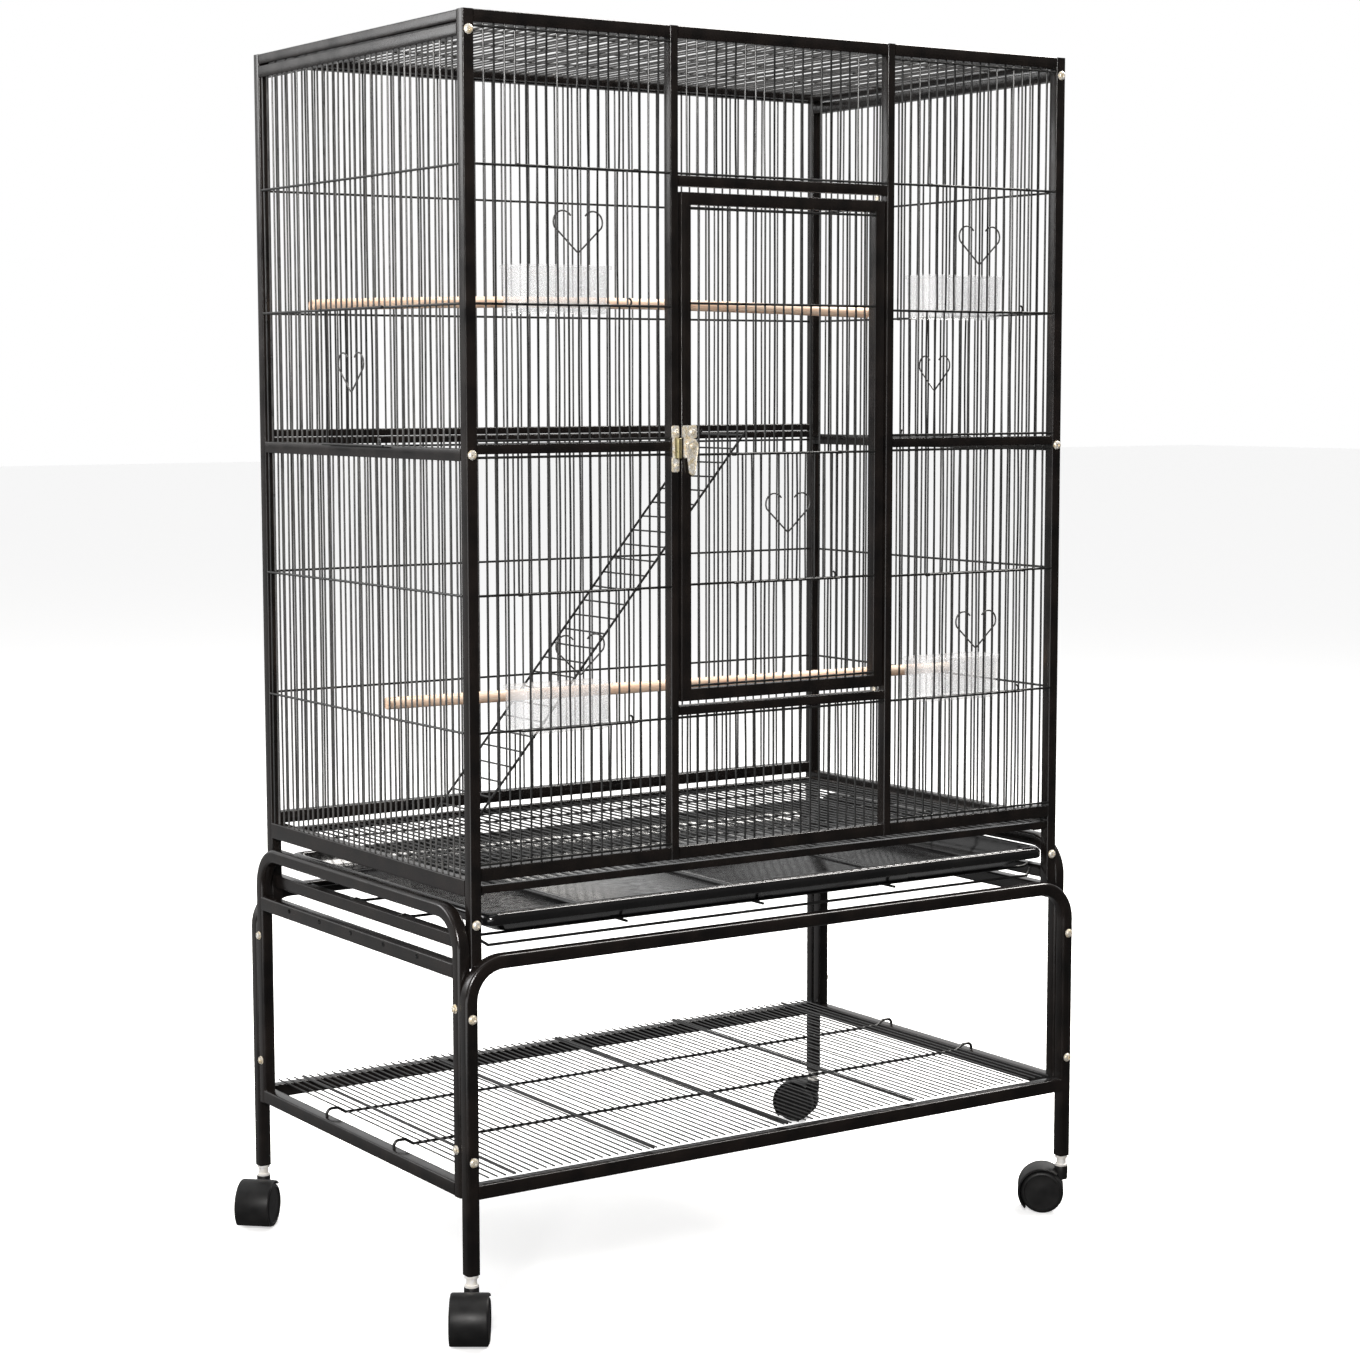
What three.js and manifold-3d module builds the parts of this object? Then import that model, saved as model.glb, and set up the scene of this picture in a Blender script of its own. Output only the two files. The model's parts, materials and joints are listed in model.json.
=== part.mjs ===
// Flight cage for small birds on a rolling stand: a wire cage of bolted panels with a
// pull-out grate and tray, standing on four bolted tube frames with casters.
// Millimetres, +Z up, front (door side) towards -Y, the floor at Z = 0.
import * as THREE from 'three';
import { mergeVertices } from 'three/addons/utils/BufferGeometryUtils.js';
import Module from 'manifold-3d';

const wasm = await Module();
wasm.setup();

// ---- Driving dimensions -------------------------------------------------------------

const cageWidth = 780;          // outside of the posts, along X
const cageDepth = 474;          // outside of the posts, along Y
const overallHeight = 1334;     // floor to the top of the roof
const clearance = 0.3;          // between separate pieces that touch in use

const postSize = 12.7;          // square tube of posts and panel rims
const innerTube = 10;           // square tube of door posts, header, sill and mid bars
const headerHeight = 11;
const standTube = 15;           // square tube of the stand
const standBendRadius = 46;     // outside radius of the bent stand tubes
const bendSteps = 7;

const uprightWire = 2.2;        // grille wire, upright
const crossWire = 2.6;          // grille wire, lying across
const grillePitch = 24.4;       // spacing of the grille wires that the solids carry

const frontBarTop = 482;        // bottom bar of the front and back panels
const frontBarHeight = 13.5;
const sideBarTop = 470;         // bottom bar of the side panels
const sideBarHeight = 18;
const sillTop = 631.5;
const headerTop = 1182.8;
const midBarCentre = 904;       // front mid bars
const backMidCentre = 909.5;    // the back's mid bar is two tubes, one on the other
const backMidHeight = 17;
const sideMidCentre = 898.5;
const crossWireLevels = [619.2, 757.5, 1048, 1184.5];
const postFoot = 380;           // lower end of the posts

const doorPostOffset = 136.5;   // middle of the cage to the near face of a door post
const doorGap = 3.2;            // around the door, at its sides
const doorTopGap = 5.8;
const doorBottomGap = 4.5;
const doorRail = 12.7;
const hingePinRadius = 2.5;
const hingePinLength = 26;

const gateWidth = 142;          // sliding feeder gates
const gateLap = 4;              // a gate covers the edges of its opening by this
const gateRod = 2.6;
const gateStandOff = 3.6;       // gate rods in front of the panel face
const heartWidth = 60;
const heartHeight = 46;
const heartRod = 2.4;

const cupWidth = 114;
const cupDepth = 48;
const cupHeight = 49;
const cupWall = 1.8;
const cupDrop = 8;              // cup bottom below the rod that it hangs on
const cupStandOff = 1.6;        // behind the panel's tubes
const cupHook = { width: 9, thickness: 1.6, offset: 36.5 };

const perchDiameter = 13;
const upperPerchInset = 119;    // perches to the back of the cage
const lowerPerchInset = 283;
const perchEndGap = 2;          // to the wires of the side panels

const ladderWidth = 94;
const ladderWire = 2.8;
const rungSpacing = 21.8;
const rungInset = 6;            // first and last rung to the ends of the rails
const ladderTopInset = 195;     // ends of the ladder to the cage's right and left sides
const ladderFootInset = 203;
const ladderTopZ = 913;
const ladderBackInset = 31;     // its back rail to the back of the cage

const grateHeight = 8;
const grateBottom = 455.5;
const grateRim = 8;
const grateCrossPitch = 115;
const grateSideGap = 1;         // to the posts, and at the back
const ledgeHeight = 2.5;        // strips along the side panels that the grate slides on
const ledgeDepth = 10;
const trayTop = 434.5;
const trayHeight = 26;
const trayWall = 2.2;
const traySideGap = 5.3;        // tray to the inside of the posts
const trayProud = 1;            // tray lip in front of the posts

const rackRailTop = 410;
const rackRailHeight = 14;
const rackWire = 3.2;
const weldSink = 0.6;           // how far two crossing wires sink into each other
const rackRunShares = [-0.9, -0.3, 0.2, 0.7];      // of half the depth between the posts
const rackRunnerShares = [-0.46, 0, 0.46];         // of half the cage's width

const sideFrameTop = 443.5;
const drilledBarTop = 386;
const drilledBarHeight = 16;
const drilledHoles = 5;
const drilledHoleSpacing = 75;
const drilledHoleRadius = 1.8;
const drilledHoleDrop = 5.5;    // below the top of the bar
const hoopTop = 394.5;
const shelfBarTop = 159.5;
const shelfEndGap = 3;          // shelf inside the cage's front and back
const shelfSideGap = 8;
const shelfRunShares = [-0.72, -0.24, 0.24, 0.72]; // of half the shelf's depth
const legFoot = 66.5;           // lower end of the stand's legs

const wheelRadius = 25;
const wheelWidth = 15;
const wheelSpread = 5;          // middle of a caster to the near face of a wheel
const casterTrail = 22;
const hoodGap = 1;              // wheel to the inside of its hood
const hoodThickness = 2.5;
const hoodArc = [52, 208];      // degrees round the axle, from the back of the wheel
const axleRadius = 3;
const axleClearance = 0.4;
const webGap = 0.8;             // fork's web to a wheel
const bossRadius = 7.5;
const bossHeight = 10;
const bossLift = 22;            // foot of the boss above the axle
const stemRadius = 4.5;
const casterTurns = { front_left: -34, back_left: -43, front_right: -131, back_right: -143 };

const boltHeadDiameter = 10;
const boltHeadHeight = 3.2;
const standBoltLevels = [332, 184.5];
const cageScrewLevels = [overallHeight - 20, sideMidCentre, 424.5];

// ---- Finishes -----------------------------------------------------------------------

const powderCoat = new THREE.MeshStandardMaterial({ color: 0x161413, roughness: 0.36, metalness: 0.25 });
const zinc = new THREE.MeshStandardMaterial({ color: 0xcfc6b2, roughness: 0.32, metalness: 0.9 });
const wood = new THREE.MeshStandardMaterial({ color: 0xe3ab7c, roughness: 0.62, metalness: 0 });
const clearPlastic = new THREE.MeshStandardMaterial({
  color: 0xe9eef0, roughness: 0.12, metalness: 0, transparent: true, opacity: 0.35,
});
const trayPlastic = new THREE.MeshStandardMaterial({ color: 0x0e0e0f, roughness: 0.14, metalness: 0 });
const casterPlastic = new THREE.MeshStandardMaterial({ color: 0x1b1b1c, roughness: 0.55, metalness: 0 });

// ---- Solids -------------------------------------------------------------------------

function toSolid(geometry) {
  const bare = geometry.index ? geometry.clone() : geometry;
  bare.deleteAttribute('normal');
  bare.deleteAttribute('uv');
  const merged = mergeVertices(bare, 1e-4);
  return new wasm.Manifold(new wasm.Mesh({
    numProp: 3,
    vertProperties: Float32Array.from(merged.attributes.position.array),
    triVerts: Uint32Array.from(merged.index.array),
  }));
}

function toGeometry(solid) {
  const mesh = solid.getMesh();
  const geometry = new THREE.BufferGeometry();
  geometry.setAttribute('position', new THREE.BufferAttribute(Float32Array.from(mesh.vertProperties), 3));
  geometry.setIndex(new THREE.BufferAttribute(Uint32Array.from(mesh.triVerts), 1));
  geometry.computeVertexNormals();
  return geometry;
}

function join(solids) {
  return solids.reduce((whole, piece) => whole.add(piece));
}

function box([x0, x1], [y0, y1], [z0, z1]) {
  const geometry = new THREE.BoxGeometry(x1 - x0, y1 - y0, z1 - z0);
  geometry.translate((x0 + x1) / 2, (y0 + y1) / 2, (z0 + z1) / 2);
  return toSolid(geometry);
}

// A round bar from one point along an axis, 'x', 'y' or 'z'.
function rod(radius, length, start, axis, sides = 12) {
  const geometry = new THREE.CylinderGeometry(radius, radius, length, sides);
  if (axis === 'x') geometry.rotateZ(-Math.PI / 2);
  if (axis === 'z') geometry.rotateX(Math.PI / 2);
  const along = new THREE.Vector3(axis === 'x' ? 1 : 0, axis === 'y' ? 1 : 0, axis === 'z' ? 1 : 0);
  const middle = new THREE.Vector3(...start).addScaledVector(along, length / 2);
  geometry.translate(middle.x, middle.y, middle.z);
  return toSolid(geometry);
}

// A flat outline in X and Z, given a thickness from the face at y = front backwards.
function plate(shape, front, thickness, curveSegments = bendSteps) {
  const geometry = new THREE.ExtrudeGeometry(shape, { depth: thickness, bevelEnabled: false, curveSegments });
  geometry.rotateX(Math.PI / 2);
  geometry.translate(0, front + thickness, 0);
  return toSolid(geometry);
}

function centred(middle, size) {
  return [middle - size / 2, middle + size / 2];
}

// Wires spread evenly between two edges, at the nearest whole number of pitches.
function spread(from, to, pitch) {
  const spaces = Math.max(2, Math.round((to - from) / pitch));
  return Array.from({ length: spaces - 1 }, (_, i) => from + ((i + 1) * (to - from)) / spaces);
}

const cage = new THREE.Group();

function addPart(name, solid, material, parent = cage) {
  const mesh = new THREE.Mesh(toGeometry(solid), material);
  mesh.name = name;
  parent.add(mesh);
  return mesh;
}

// A group whose local -Y faces outwards from the cage, at one of its four sides.
function sideGroup(turnDegrees, distance) {
  const group = new THREE.Group();
  group.rotation.z = THREE.MathUtils.degToRad(turnDegrees);
  const outward = new THREE.Vector3(0, -distance, 0).applyEuler(group.rotation);
  group.position.copy(outward);
  cage.add(group);
  return group;
}

const frontSide = sideGroup(0, cageDepth / 2);
const backSide = sideGroup(180, cageDepth / 2);
const leftSide = sideGroup(-90, cageWidth / 2);
const rightSide = sideGroup(90, cageWidth / 2);

// ---- Grille panels: local -Y is the outside, and the panel's face is y = 0 -----------

const panelDepth = [0, postSize];
const crossLayer = [0, crossWire];
const uprightLayer = [crossWire + clearance, crossWire + clearance + uprightWire];
const wireBite = 2;             // how far a wire runs into the bar that holds it
const wireRecess = 1;           // lying wires below the top of their rim

const [sillWire, lowWire, highWire, headerWire] = crossWireLevels;
const topBar = [overallHeight - postSize, overallHeight];
const frontBar = [frontBarTop - frontBarHeight, frontBarTop];
const frontMid = centred(midBarCentre, innerTube);
const backMid = centred(backMidCentre, backMidHeight);
const sideMid = centred(sideMidCentre, postSize);

// Upright wires in one field, stopping short of any opening of the field.
function uprights(fieldX, fieldZ, openings = []) {
  const wires = [];
  for (const x of spread(fieldX[0], fieldX[1], grillePitch)) {
    const hole = openings.find((o) => (
      x > o.x[0] && x < o.x[1] && o.z[0] > fieldZ[0] - 1 && o.z[1] < fieldZ[1] + 1));
    const runs = hole ? [[fieldZ[0], hole.z[0]], [hole.z[1], fieldZ[1]]] : [fieldZ];
    for (const [low, high] of runs) {
      if (high - low < uprightWire) continue;
      const start = low === fieldZ[0] ? low - wireBite : low;
      const end = high === fieldZ[1] ? high + wireBite : high;
      wires.push(box(centred(x, uprightWire), uprightLayer, [start, end]));
    }
  }
  return wires;
}

function crossWires(fieldX, levels) {
  const run = [fieldX[0] - wireBite, fieldX[1] + wireBite];
  return levels.map((level) => box(run, crossLayer, centred(level, crossWire)));
}

function gateOpening(middle, low, high) {
  return { x: centred(middle, gateWidth - 2 * gateLap), z: [low, high] };
}

const halfCage = cageWidth / 2;
const postInner = halfCage - postSize;
const doorPostFar = doorPostOffset + innerTube;
const gateOffset = (postInner + doorPostFar) / 2;    // middle of the cage to the middle of a front gate

function frontSection(side) {
  const fieldX = side < 0 ? [-postInner, -doorPostFar] : [doorPostFar, postInner];
  const post = side < 0 ? [-halfCage, -postInner] : [postInner, halfCage];
  const doorPost = side < 0 ? [-doorPostFar, -doorPostOffset] : [doorPostOffset, doorPostFar];
  const bars = [fieldX[0] - wireBite, fieldX[1] + wireBite];
  const middle = side * gateOffset;
  const openings = [gateOpening(middle, highWire, headerWire), gateOpening(middle, sillWire, lowWire)];
  return join([
    box(post, panelDepth, [postFoot, overallHeight]),
    box(doorPost, panelDepth, [frontBar[0], overallHeight]),
    box(bars, panelDepth, topBar),
    box(bars, panelDepth, frontMid),
    box(bars, panelDepth, frontBar),
    ...crossWires(fieldX, crossWireLevels),
    ...uprights(fieldX, [frontMid[1], topBar[0]], openings),
    ...uprights(fieldX, [frontBar[1], frontMid[0]], openings),
  ]);
}

const betweenDoorPosts = centred(0, 2 * (doorPostOffset - clearance));
const doorOuter = centred(0, 2 * (doorPostOffset - doorGap));
const headerBar = [headerTop - headerHeight, headerTop];
const sillBar = [sillTop - innerTube, sillTop];
const doorZ = [sillTop + doorBottomGap, headerBar[0] - doorTopGap];
const pinX = doorOuter[1] - doorRail / 2;
const pinY = postSize / 2;

function pinHole(low, high) {
  return rod(hingePinRadius + clearance, high - low, [pinX, pinY, low], 'z', 10);
}

function headerSection() {
  const field = [headerBar[1], topBar[0]];
  const edgeRun = [field[0] - wireBite, field[1] + wireBite];
  const rim = [
    box(betweenDoorPosts, panelDepth, topBar),
    box(betweenDoorPosts, panelDepth, headerBar),
    box(centred(betweenDoorPosts[0] + crossWire, crossWire), uprightLayer, edgeRun),
  ];
  const wires = uprights([betweenDoorPosts[0] + crossWire, betweenDoorPosts[1]], field);
  return join([...rim, ...wires]).subtract(pinHole(headerBar[0] - 1, headerBar[1] + 1));
}

function sillSection() {
  const wires = uprights(betweenDoorPosts, [frontBar[1], sillBar[0]]);
  return join([
    box(betweenDoorPosts, panelDepth, sillBar),
    box(betweenDoorPosts, panelDepth, frontBar),
    ...wires,
  ]).subtract(pinHole(sillBar[0] - 1, sillBar[1] + 1));
}

function backPanel() {
  const fieldX = [-postInner, postInner];
  const bars = [-postInner - wireBite, postInner + wireBite];
  return join([
    box([-halfCage, -postInner], panelDepth, [postFoot, overallHeight]),
    box([postInner, halfCage], panelDepth, [postFoot, overallHeight]),
    ...[topBar, backMid, frontBar].map((z) => box(bars, panelDepth, z)),
    ...crossWires(fieldX, crossWireLevels),
    ...uprights(fieldX, [backMid[1], topBar[0]]),
    ...uprights(fieldX, [frontBar[1], backMid[0]]),
  ]);
}

const sideHalf = cageDepth / 2 - postSize - clearance;
const sideTop = [topBar[0] - clearance - postSize, topBar[0] - clearance];
const sideBar = [sideBarTop - sideBarHeight, sideBarTop];

// The side panels have no post of their own: an edge wire at each end holds the cross wires.
function sidePanel() {
  const whole = [-sideHalf, sideHalf];
  const field = [-sideHalf + crossWire, sideHalf - crossWire];
  const opening = gateOpening(0, sideMid[1], highWire);
  const edgeLayer = [0, uprightLayer[1]];
  return join([
    box([-sideHalf, field[0]], edgeLayer, [sideBar[0], sideTop[1]]),
    box([field[1], sideHalf], edgeLayer, [sideBar[0], sideTop[1]]),
    ...[sideTop, sideMid, sideBar].map((z) => box(whole, panelDepth, z)),
    ...crossWireLevels.map((z) => box(whole, crossLayer, centred(z, crossWire))),
    ...uprights(field, [sideMid[1], sideTop[0]], [opening]),
    ...uprights(field, [sideBar[1], sideMid[0]]),
  ]);
}

function grateLedge() {
  const inside = postSize + clearance;
  return box([-sideHalf, sideHalf], [inside, inside + ledgeDepth], [sideBar[0], sideBar[0] + ledgeHeight]);
}

function roofPanel() {
  const halfX = halfCage - clearance;
  const halfY = cageDepth / 2 - postSize - clearance;
  const rim = postSize;
  const top = overallHeight - clearance;
  const layerZ = [top - uprightWire - crossWire - clearance, top - crossWire - clearance];
  const wires = spread(-halfX + rim, halfX - rim, grillePitch).map((x) => (
    box(centred(x, uprightWire), [-halfY + rim - wireBite, halfY - rim + wireBite], layerZ)));
  const crossRuns = [-halfY / 2, 0, halfY / 2].map((y) => (
    box([-halfX + rim - wireBite, halfX - rim + wireBite], centred(y, crossWire), [top - crossWire, top])));
  const z = topBar;
  return join([
    box([-halfX, halfX], [-halfY, -halfY + rim], z),
    box([-halfX, halfX], [halfY - rim, halfY], z),
    box([-halfX, -halfX + rim], [-halfY, halfY], z),
    box([halfX - rim, halfX], [-halfY, halfY], z),
    ...wires, ...crossRuns,
  ]);
}

addPart('front_left_section', frontSection(-1), powderCoat, frontSide);
addPart('front_right_section', frontSection(1), powderCoat, frontSide);
addPart('front_header_section', headerSection(), powderCoat, frontSide);
addPart('front_sill_section', sillSection(), powderCoat, frontSide);
addPart('back_panel', backPanel(), powderCoat, backSide);
addPart('left_panel', sidePanel(), powderCoat, leftSide);
addPart('right_panel', sidePanel(), powderCoat, rightSide);
addPart('roof_panel', roofPanel(), powderCoat);
addPart('grate_ledge_left', grateLedge(), powderCoat, leftSide);
addPart('grate_ledge_right', grateLedge(), powderCoat, rightSide);

// ---- Main door, its hinge pins and its latch -----------------------------------------

const doorInnerX = [doorOuter[0] + doorRail, doorOuter[1] - doorRail];
const doorInnerZ = [doorZ[0] + doorRail, doorZ[1] - doorRail];
const doorGateTop = 895;        // level of the door's middle cross wire, where its gate closes
const doorGateLow = 759;
const doorTopWire = 1052;
const pinHoleSpare = 4;         // pin holes in the door run on past the end of the pin

function mainDoor() {
  const frame = box(doorOuter, panelDepth, doorZ).subtract(
    box(doorInnerX, [-1, postSize + 1], doorInnerZ));
  const opening = gateOpening(0, doorGateLow, doorGateTop);
  const whole = join([
    frame,
    ...crossWires(doorInnerX, [doorGateLow, doorGateTop, doorTopWire]),
    ...uprights(doorInnerX, doorInnerZ, [opening]),
  ]);
  const deep = hingePinLength / 2 + pinHoleSpare;
  return whole
    .subtract(pinHole(doorZ[0] - 1, doorZ[0] + deep))
    .subtract(pinHole(doorZ[1] - deep, doorZ[1] + 1));
}

function hingePin(gapMiddle) {
  return rod(hingePinRadius, hingePinLength, [pinX, pinY, gapMiddle - hingePinLength / 2], 'z', 10);
}

addPart('main_door', mainDoor(), powderCoat, frontSide);
addPart('hinge_pin_upper', hingePin((doorZ[1] + headerBar[0]) / 2), zinc, frontSide);
addPart('hinge_pin_lower', hingePin((doorZ[0] + sillBar[1]) / 2), zinc, frontSide);

const latchTop = 925.5;
const latchBottom = 877;
const latchPlateThickness = 2.6;
const leverThickness = 3.2;
const latchSideGap = 0.5;       // latch plates inside the edges of the post and the door
const lugProud = 4;
const keeperUpperLug = 13;
const keeperLowerLug = 15;
const latchPlateHeight = 34;
const latchPlateWidth = 18;
const latchPlateLug = 9;
const pivotRadius = 2.4;
const pivotHead = 1.6;          // pivot in front of the lever, and into the plate behind it
const leverPivotX = doorOuter[0] + doorRail / 2 + 4;
const leverPivotZ = 904;
const leverRadius = 7.5;
const leverDrop = 27;
const leverTipRadius = 3.5;
const plateFront = -clearance - latchPlateThickness;
const leverFront = plateFront - clearance - leverThickness;

// The keeper is a strap on the door post with an upper and a lower lug.
function latchKeeper() {
  const x = [-doorPostFar + latchSideGap, -doorPostOffset - latchSideGap];
  const lug = [plateFront - lugProud, -clearance];
  return join([
    box(x, [plateFront, -clearance], [latchBottom, latchTop]),
    box(x, lug, [latchTop - keeperUpperLug, latchTop]),
    box(x, lug, [latchBottom, latchBottom + keeperLowerLug]),
  ]);
}

function latchPlate() {
  const x = [doorOuter[0] + latchSideGap, doorOuter[0] + latchSideGap + latchPlateWidth];
  const plateBody = box(x, [plateFront, -clearance], [latchTop - latchPlateHeight, latchTop]);
  const lug = box(x, [plateFront - lugProud, -clearance], [latchTop - latchPlateLug, latchTop]);
  const pivotLength = leverThickness + clearance + 2 * pivotHead;
  const pivot = rod(pivotRadius, pivotLength, [leverPivotX, leverFront - pivotHead, leverPivotZ], 'y', 10);
  return join([plateBody, lug, pivot]);
}

// A gravity lever: a round head about the pivot, tapering to a finger tip below.
function latchLever() {
  const shape = new THREE.Shape();
  shape.absarc(0, 0, leverRadius, 0, Math.PI, false);
  shape.lineTo(-leverTipRadius, -leverDrop);
  shape.absarc(0, -leverDrop, leverTipRadius, Math.PI, 2 * Math.PI, false);
  shape.closePath();
  const hole = new THREE.Path();
  hole.absarc(0, 0, pivotRadius + clearance, 0, 2 * Math.PI, true);
  shape.holes.push(hole);
  return plate(shape, -leverThickness / 2, leverThickness, 6);
}

addPart('latch_keeper', latchKeeper(), zinc, frontSide);
addPart('latch_plate', latchPlate(), zinc, frontSide);
const leverMesh = addPart('latch_lever', latchLever(), zinc, frontSide);
leverMesh.position.set(leverPivotX, leverFront + leverThickness / 2, leverPivotZ);

// ---- Sliding feeder gates -------------------------------------------------------------

function heartShape(width, height) {
  const w = width / 2;
  const shape = new THREE.Shape();
  shape.moveTo(0, height * 0.2);
  shape.bezierCurveTo(w * 0.2, height * 0.62, w, height * 0.6, w, height * 0.1);
  shape.bezierCurveTo(w, -height * 0.12, w * 0.35, -height * 0.3, 0, -height * 0.5);
  shape.bezierCurveTo(-w * 0.35, -height * 0.3, -w, -height * 0.12, -w, height * 0.1);
  shape.bezierCurveTo(-w, height * 0.6, -w * 0.2, height * 0.62, 0, height * 0.2);
  return shape;
}

function heartRing(layer) {
  const thick = layer[1] - layer[0];
  const outer = plate(heartShape(heartWidth, heartHeight), layer[0], thick, 3);
  const inner = heartShape(heartWidth - 2 * heartRod, heartHeight - 2.4 * heartRod);
  return outer.subtract(plate(inner, layer[0] - 1, thick + 2, 3));
}

// A wire gate that slides up in front of its opening, from its foot at z = 0.
function gate(height) {
  const half = gateWidth / 2;
  const layer = [-gateStandOff - gateRod, -gateStandOff];
  const rails = [crossWire / 2, height - crossWire / 2];
  const wires = spread(-half, half, grillePitch).map((x) => box(centred(x, uprightWire), layer, [0, height]));
  const heart = heartRing([layer[0] + 0.2, layer[1] - 0.2]).translate([0, 0, height / 2]);
  return join([
    ...rails.map((z) => box([-half, half], layer, centred(z, crossWire))),
    box([-half, -half + gateRod], layer, [0, height]),
    box([half - gateRod, half], layer, [0, height]),
    ...wires, heart,
  ]);
}

function placeGate(name, parent, middle, low, high) {
  const overlap = crossWire / 2;
  const mesh = addPart(name, gate(high - low + 2 * overlap), powderCoat, parent);
  mesh.position.set(middle, 0, low - overlap);
}

placeGate('gate_front_left_upper', frontSide, -gateOffset, highWire, headerWire);
placeGate('gate_front_left_lower', frontSide, -gateOffset, sillWire, lowWire);
placeGate('gate_front_right_upper', frontSide, gateOffset, highWire, headerWire);
placeGate('gate_front_right_lower', frontSide, gateOffset, sillWire, lowWire);
placeGate('gate_main_door', frontSide, 0, doorGateLow, doorGateTop);
placeGate('gate_left_side', leftSide, 0, sideMid[1], highWire);
placeGate('gate_right_side', rightSide, 0, sideMid[1], highWire);

// ---- Feeder cups ----------------------------------------------------------------------

// An open cup that hangs on a cross wire of the panel by two hooks; z = 0 is the wire's middle.
function cup() {
  const front = postSize + cupStandOff;
  const x = centred(0, cupWidth);
  const y = [front, front + cupDepth];
  const z = [-cupDrop, cupHeight - cupDrop];
  const shell = box(x, y, z).subtract(
    box([x[0] + cupWall, x[1] - cupWall], [y[0] + cupWall, y[1] - cupWall], [z[0] + cupWall, z[1] + 1]));
  const over = crossWire / 2 + clearance;
  const hooks = [-1, 1].flatMap((side) => {
    const hookX = centred(side * cupHook.offset, cupHook.width);
    const reach = -clearance - cupHook.thickness;
    return [
      box(hookX, [reach, y[0] + cupWall / 2], [over, over + cupHook.thickness]),
      box(hookX, [reach, -clearance], [-crossWire, over + cupHook.thickness]),
    ];
  });
  return join([shell, ...hooks]);
}

for (const [place, side, level] of [
  ['left_upper', -1, highWire], ['left_lower', -1, sillWire],
  ['right_upper', 1, highWire], ['right_lower', 1, sillWire],
]) {
  addPart(`cup_${place}`, cup(), clearPlastic, frontSide).position.set(side * gateOffset, 0, level);
}

// ---- Perches and ladder ---------------------------------------------------------------

function perch(y, restingWire) {
  const half = halfCage - uprightLayer[1] - perchEndGap;
  const centreZ = restingWire + crossWire / 2 + perchDiameter / 2 + clearance;
  return rod(perchDiameter / 2, 2 * half, [-half, y, centreZ], 'x', 14);
}

addPart('perch_upper', perch(cageDepth / 2 - upperPerchInset, highWire), wood);
addPart('perch_lower', perch(cageDepth / 2 - lowerPerchInset, sillWire), wood);

const grateTop = grateBottom + grateHeight;
const ladderFootZ = grateTop + ladderWire + 2 * clearance;

const ladderTopX = halfCage - ladderTopInset;
const ladderFootX = -halfCage + ladderFootInset;

// The ladder lies along its own X, hung from its top end at the local origin.
function ladder() {
  const rise = ladderTopZ - ladderFootZ;
  const length = Math.hypot(ladderTopX - ladderFootX, rise);
  const half = ladderWire / 2;
  const rails = [-ladderWidth, 0].map((y) => box([-length, 0], [y - half, y + half], [-half, half]));
  const count = Math.floor((length - 2 * rungInset) / rungSpacing);
  const rungs = Array.from({ length: count + 1 }, (_, i) => (
    box(centred(-rungInset - i * rungSpacing, uprightWire), [-ladderWidth, 0], centred(0, uprightWire))));
  return join([...rails, ...rungs]);
}

const ladderMesh = addPart('ladder', ladder(), powderCoat);
ladderMesh.position.set(ladderTopX, cageDepth / 2 - ladderBackInset, ladderTopZ);
ladderMesh.rotation.y = -Math.atan2(ladderTopZ - ladderFootZ, ladderTopX - ladderFootX);

// ---- Grate, tray and tray rack ----------------------------------------------------------

const innerHalfX = postInner - clearance;
const innerFrontY = -cageDepth / 2;
const innerBackY = cageDepth / 2 - postSize - grateSideGap;

function grate() {
  const halfX = innerHalfX - grateSideGap;
  const rim = grateRim;
  const y = [innerFrontY + grateSideGap, innerBackY];
  const z = [grateBottom, grateTop];
  const frame = box([-halfX, halfX], y, z).subtract(
    box([-halfX + rim, halfX - rim], [y[0] + rim, y[1] - rim], [z[0] - 1, z[1] + 1]));
  const wireZ = [grateTop - uprightWire - wireRecess, grateTop - wireRecess];
  const wires = spread(-halfX + rim, halfX - rim, grillePitch).map((x) => (
    box(centred(x, uprightWire), [y[0] + rim - wireBite, y[1] - rim + wireBite], wireZ)));
  const crossZ = [wireZ[0] - clearance - crossWire, wireZ[0] - clearance];
  const crossRuns = spread(y[0] + rim, y[1] - rim, grateCrossPitch).map((cy) => (
    box([-halfX + rim - wireBite, halfX - rim + wireBite], centred(cy, crossWire), crossZ)));
  return join([frame, ...wires, ...crossRuns]);
}

function tray() {
  const x = centred(0, 2 * (postInner - traySideGap));
  const y = [innerFrontY - trayProud, innerBackY];
  const z = [trayTop - trayHeight, trayTop];
  return box(x, y, z).subtract(
    box([x[0] + trayWall, x[1] - trayWall], [y[0] + trayWall, y[1] - trayWall], [z[0] + trayWall, z[1] + 1]));
}

// Two rails between the posts, joined by wires that the tray slides on.
function trayRack() {
  const endY = cageDepth / 2 - postSize - clearance;
  const railZ = [rackRailTop - rackRailHeight, rackRailTop];
  const rails = [[-halfCage + clearance, -postInner], [postInner, halfCage - clearance]].map((x) => (
    box(x, [-endY, endY], railZ)));
  const wireTop = trayTop - trayHeight - clearance;
  const between = [-postInner - wireBite, postInner + wireBite];
  const runs = rackRunShares.map((share) => (
    box(between, centred(share * endY, rackWire), [wireTop - rackWire, wireTop])));
  const runnerTop = wireTop - rackWire + weldSink;
  const runners = rackRunnerShares.map((share) => (
    box(centred(share * halfCage, rackWire), [-endY, endY], [runnerTop - rackWire, runnerTop])));
  return join([...rails, ...runs, ...runners]);
}

addPart('floor_grate', grate(), powderCoat);
addPart('tray', tray(), trayPlastic);
addPart('tray_rack', trayRack(), powderCoat);

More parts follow.
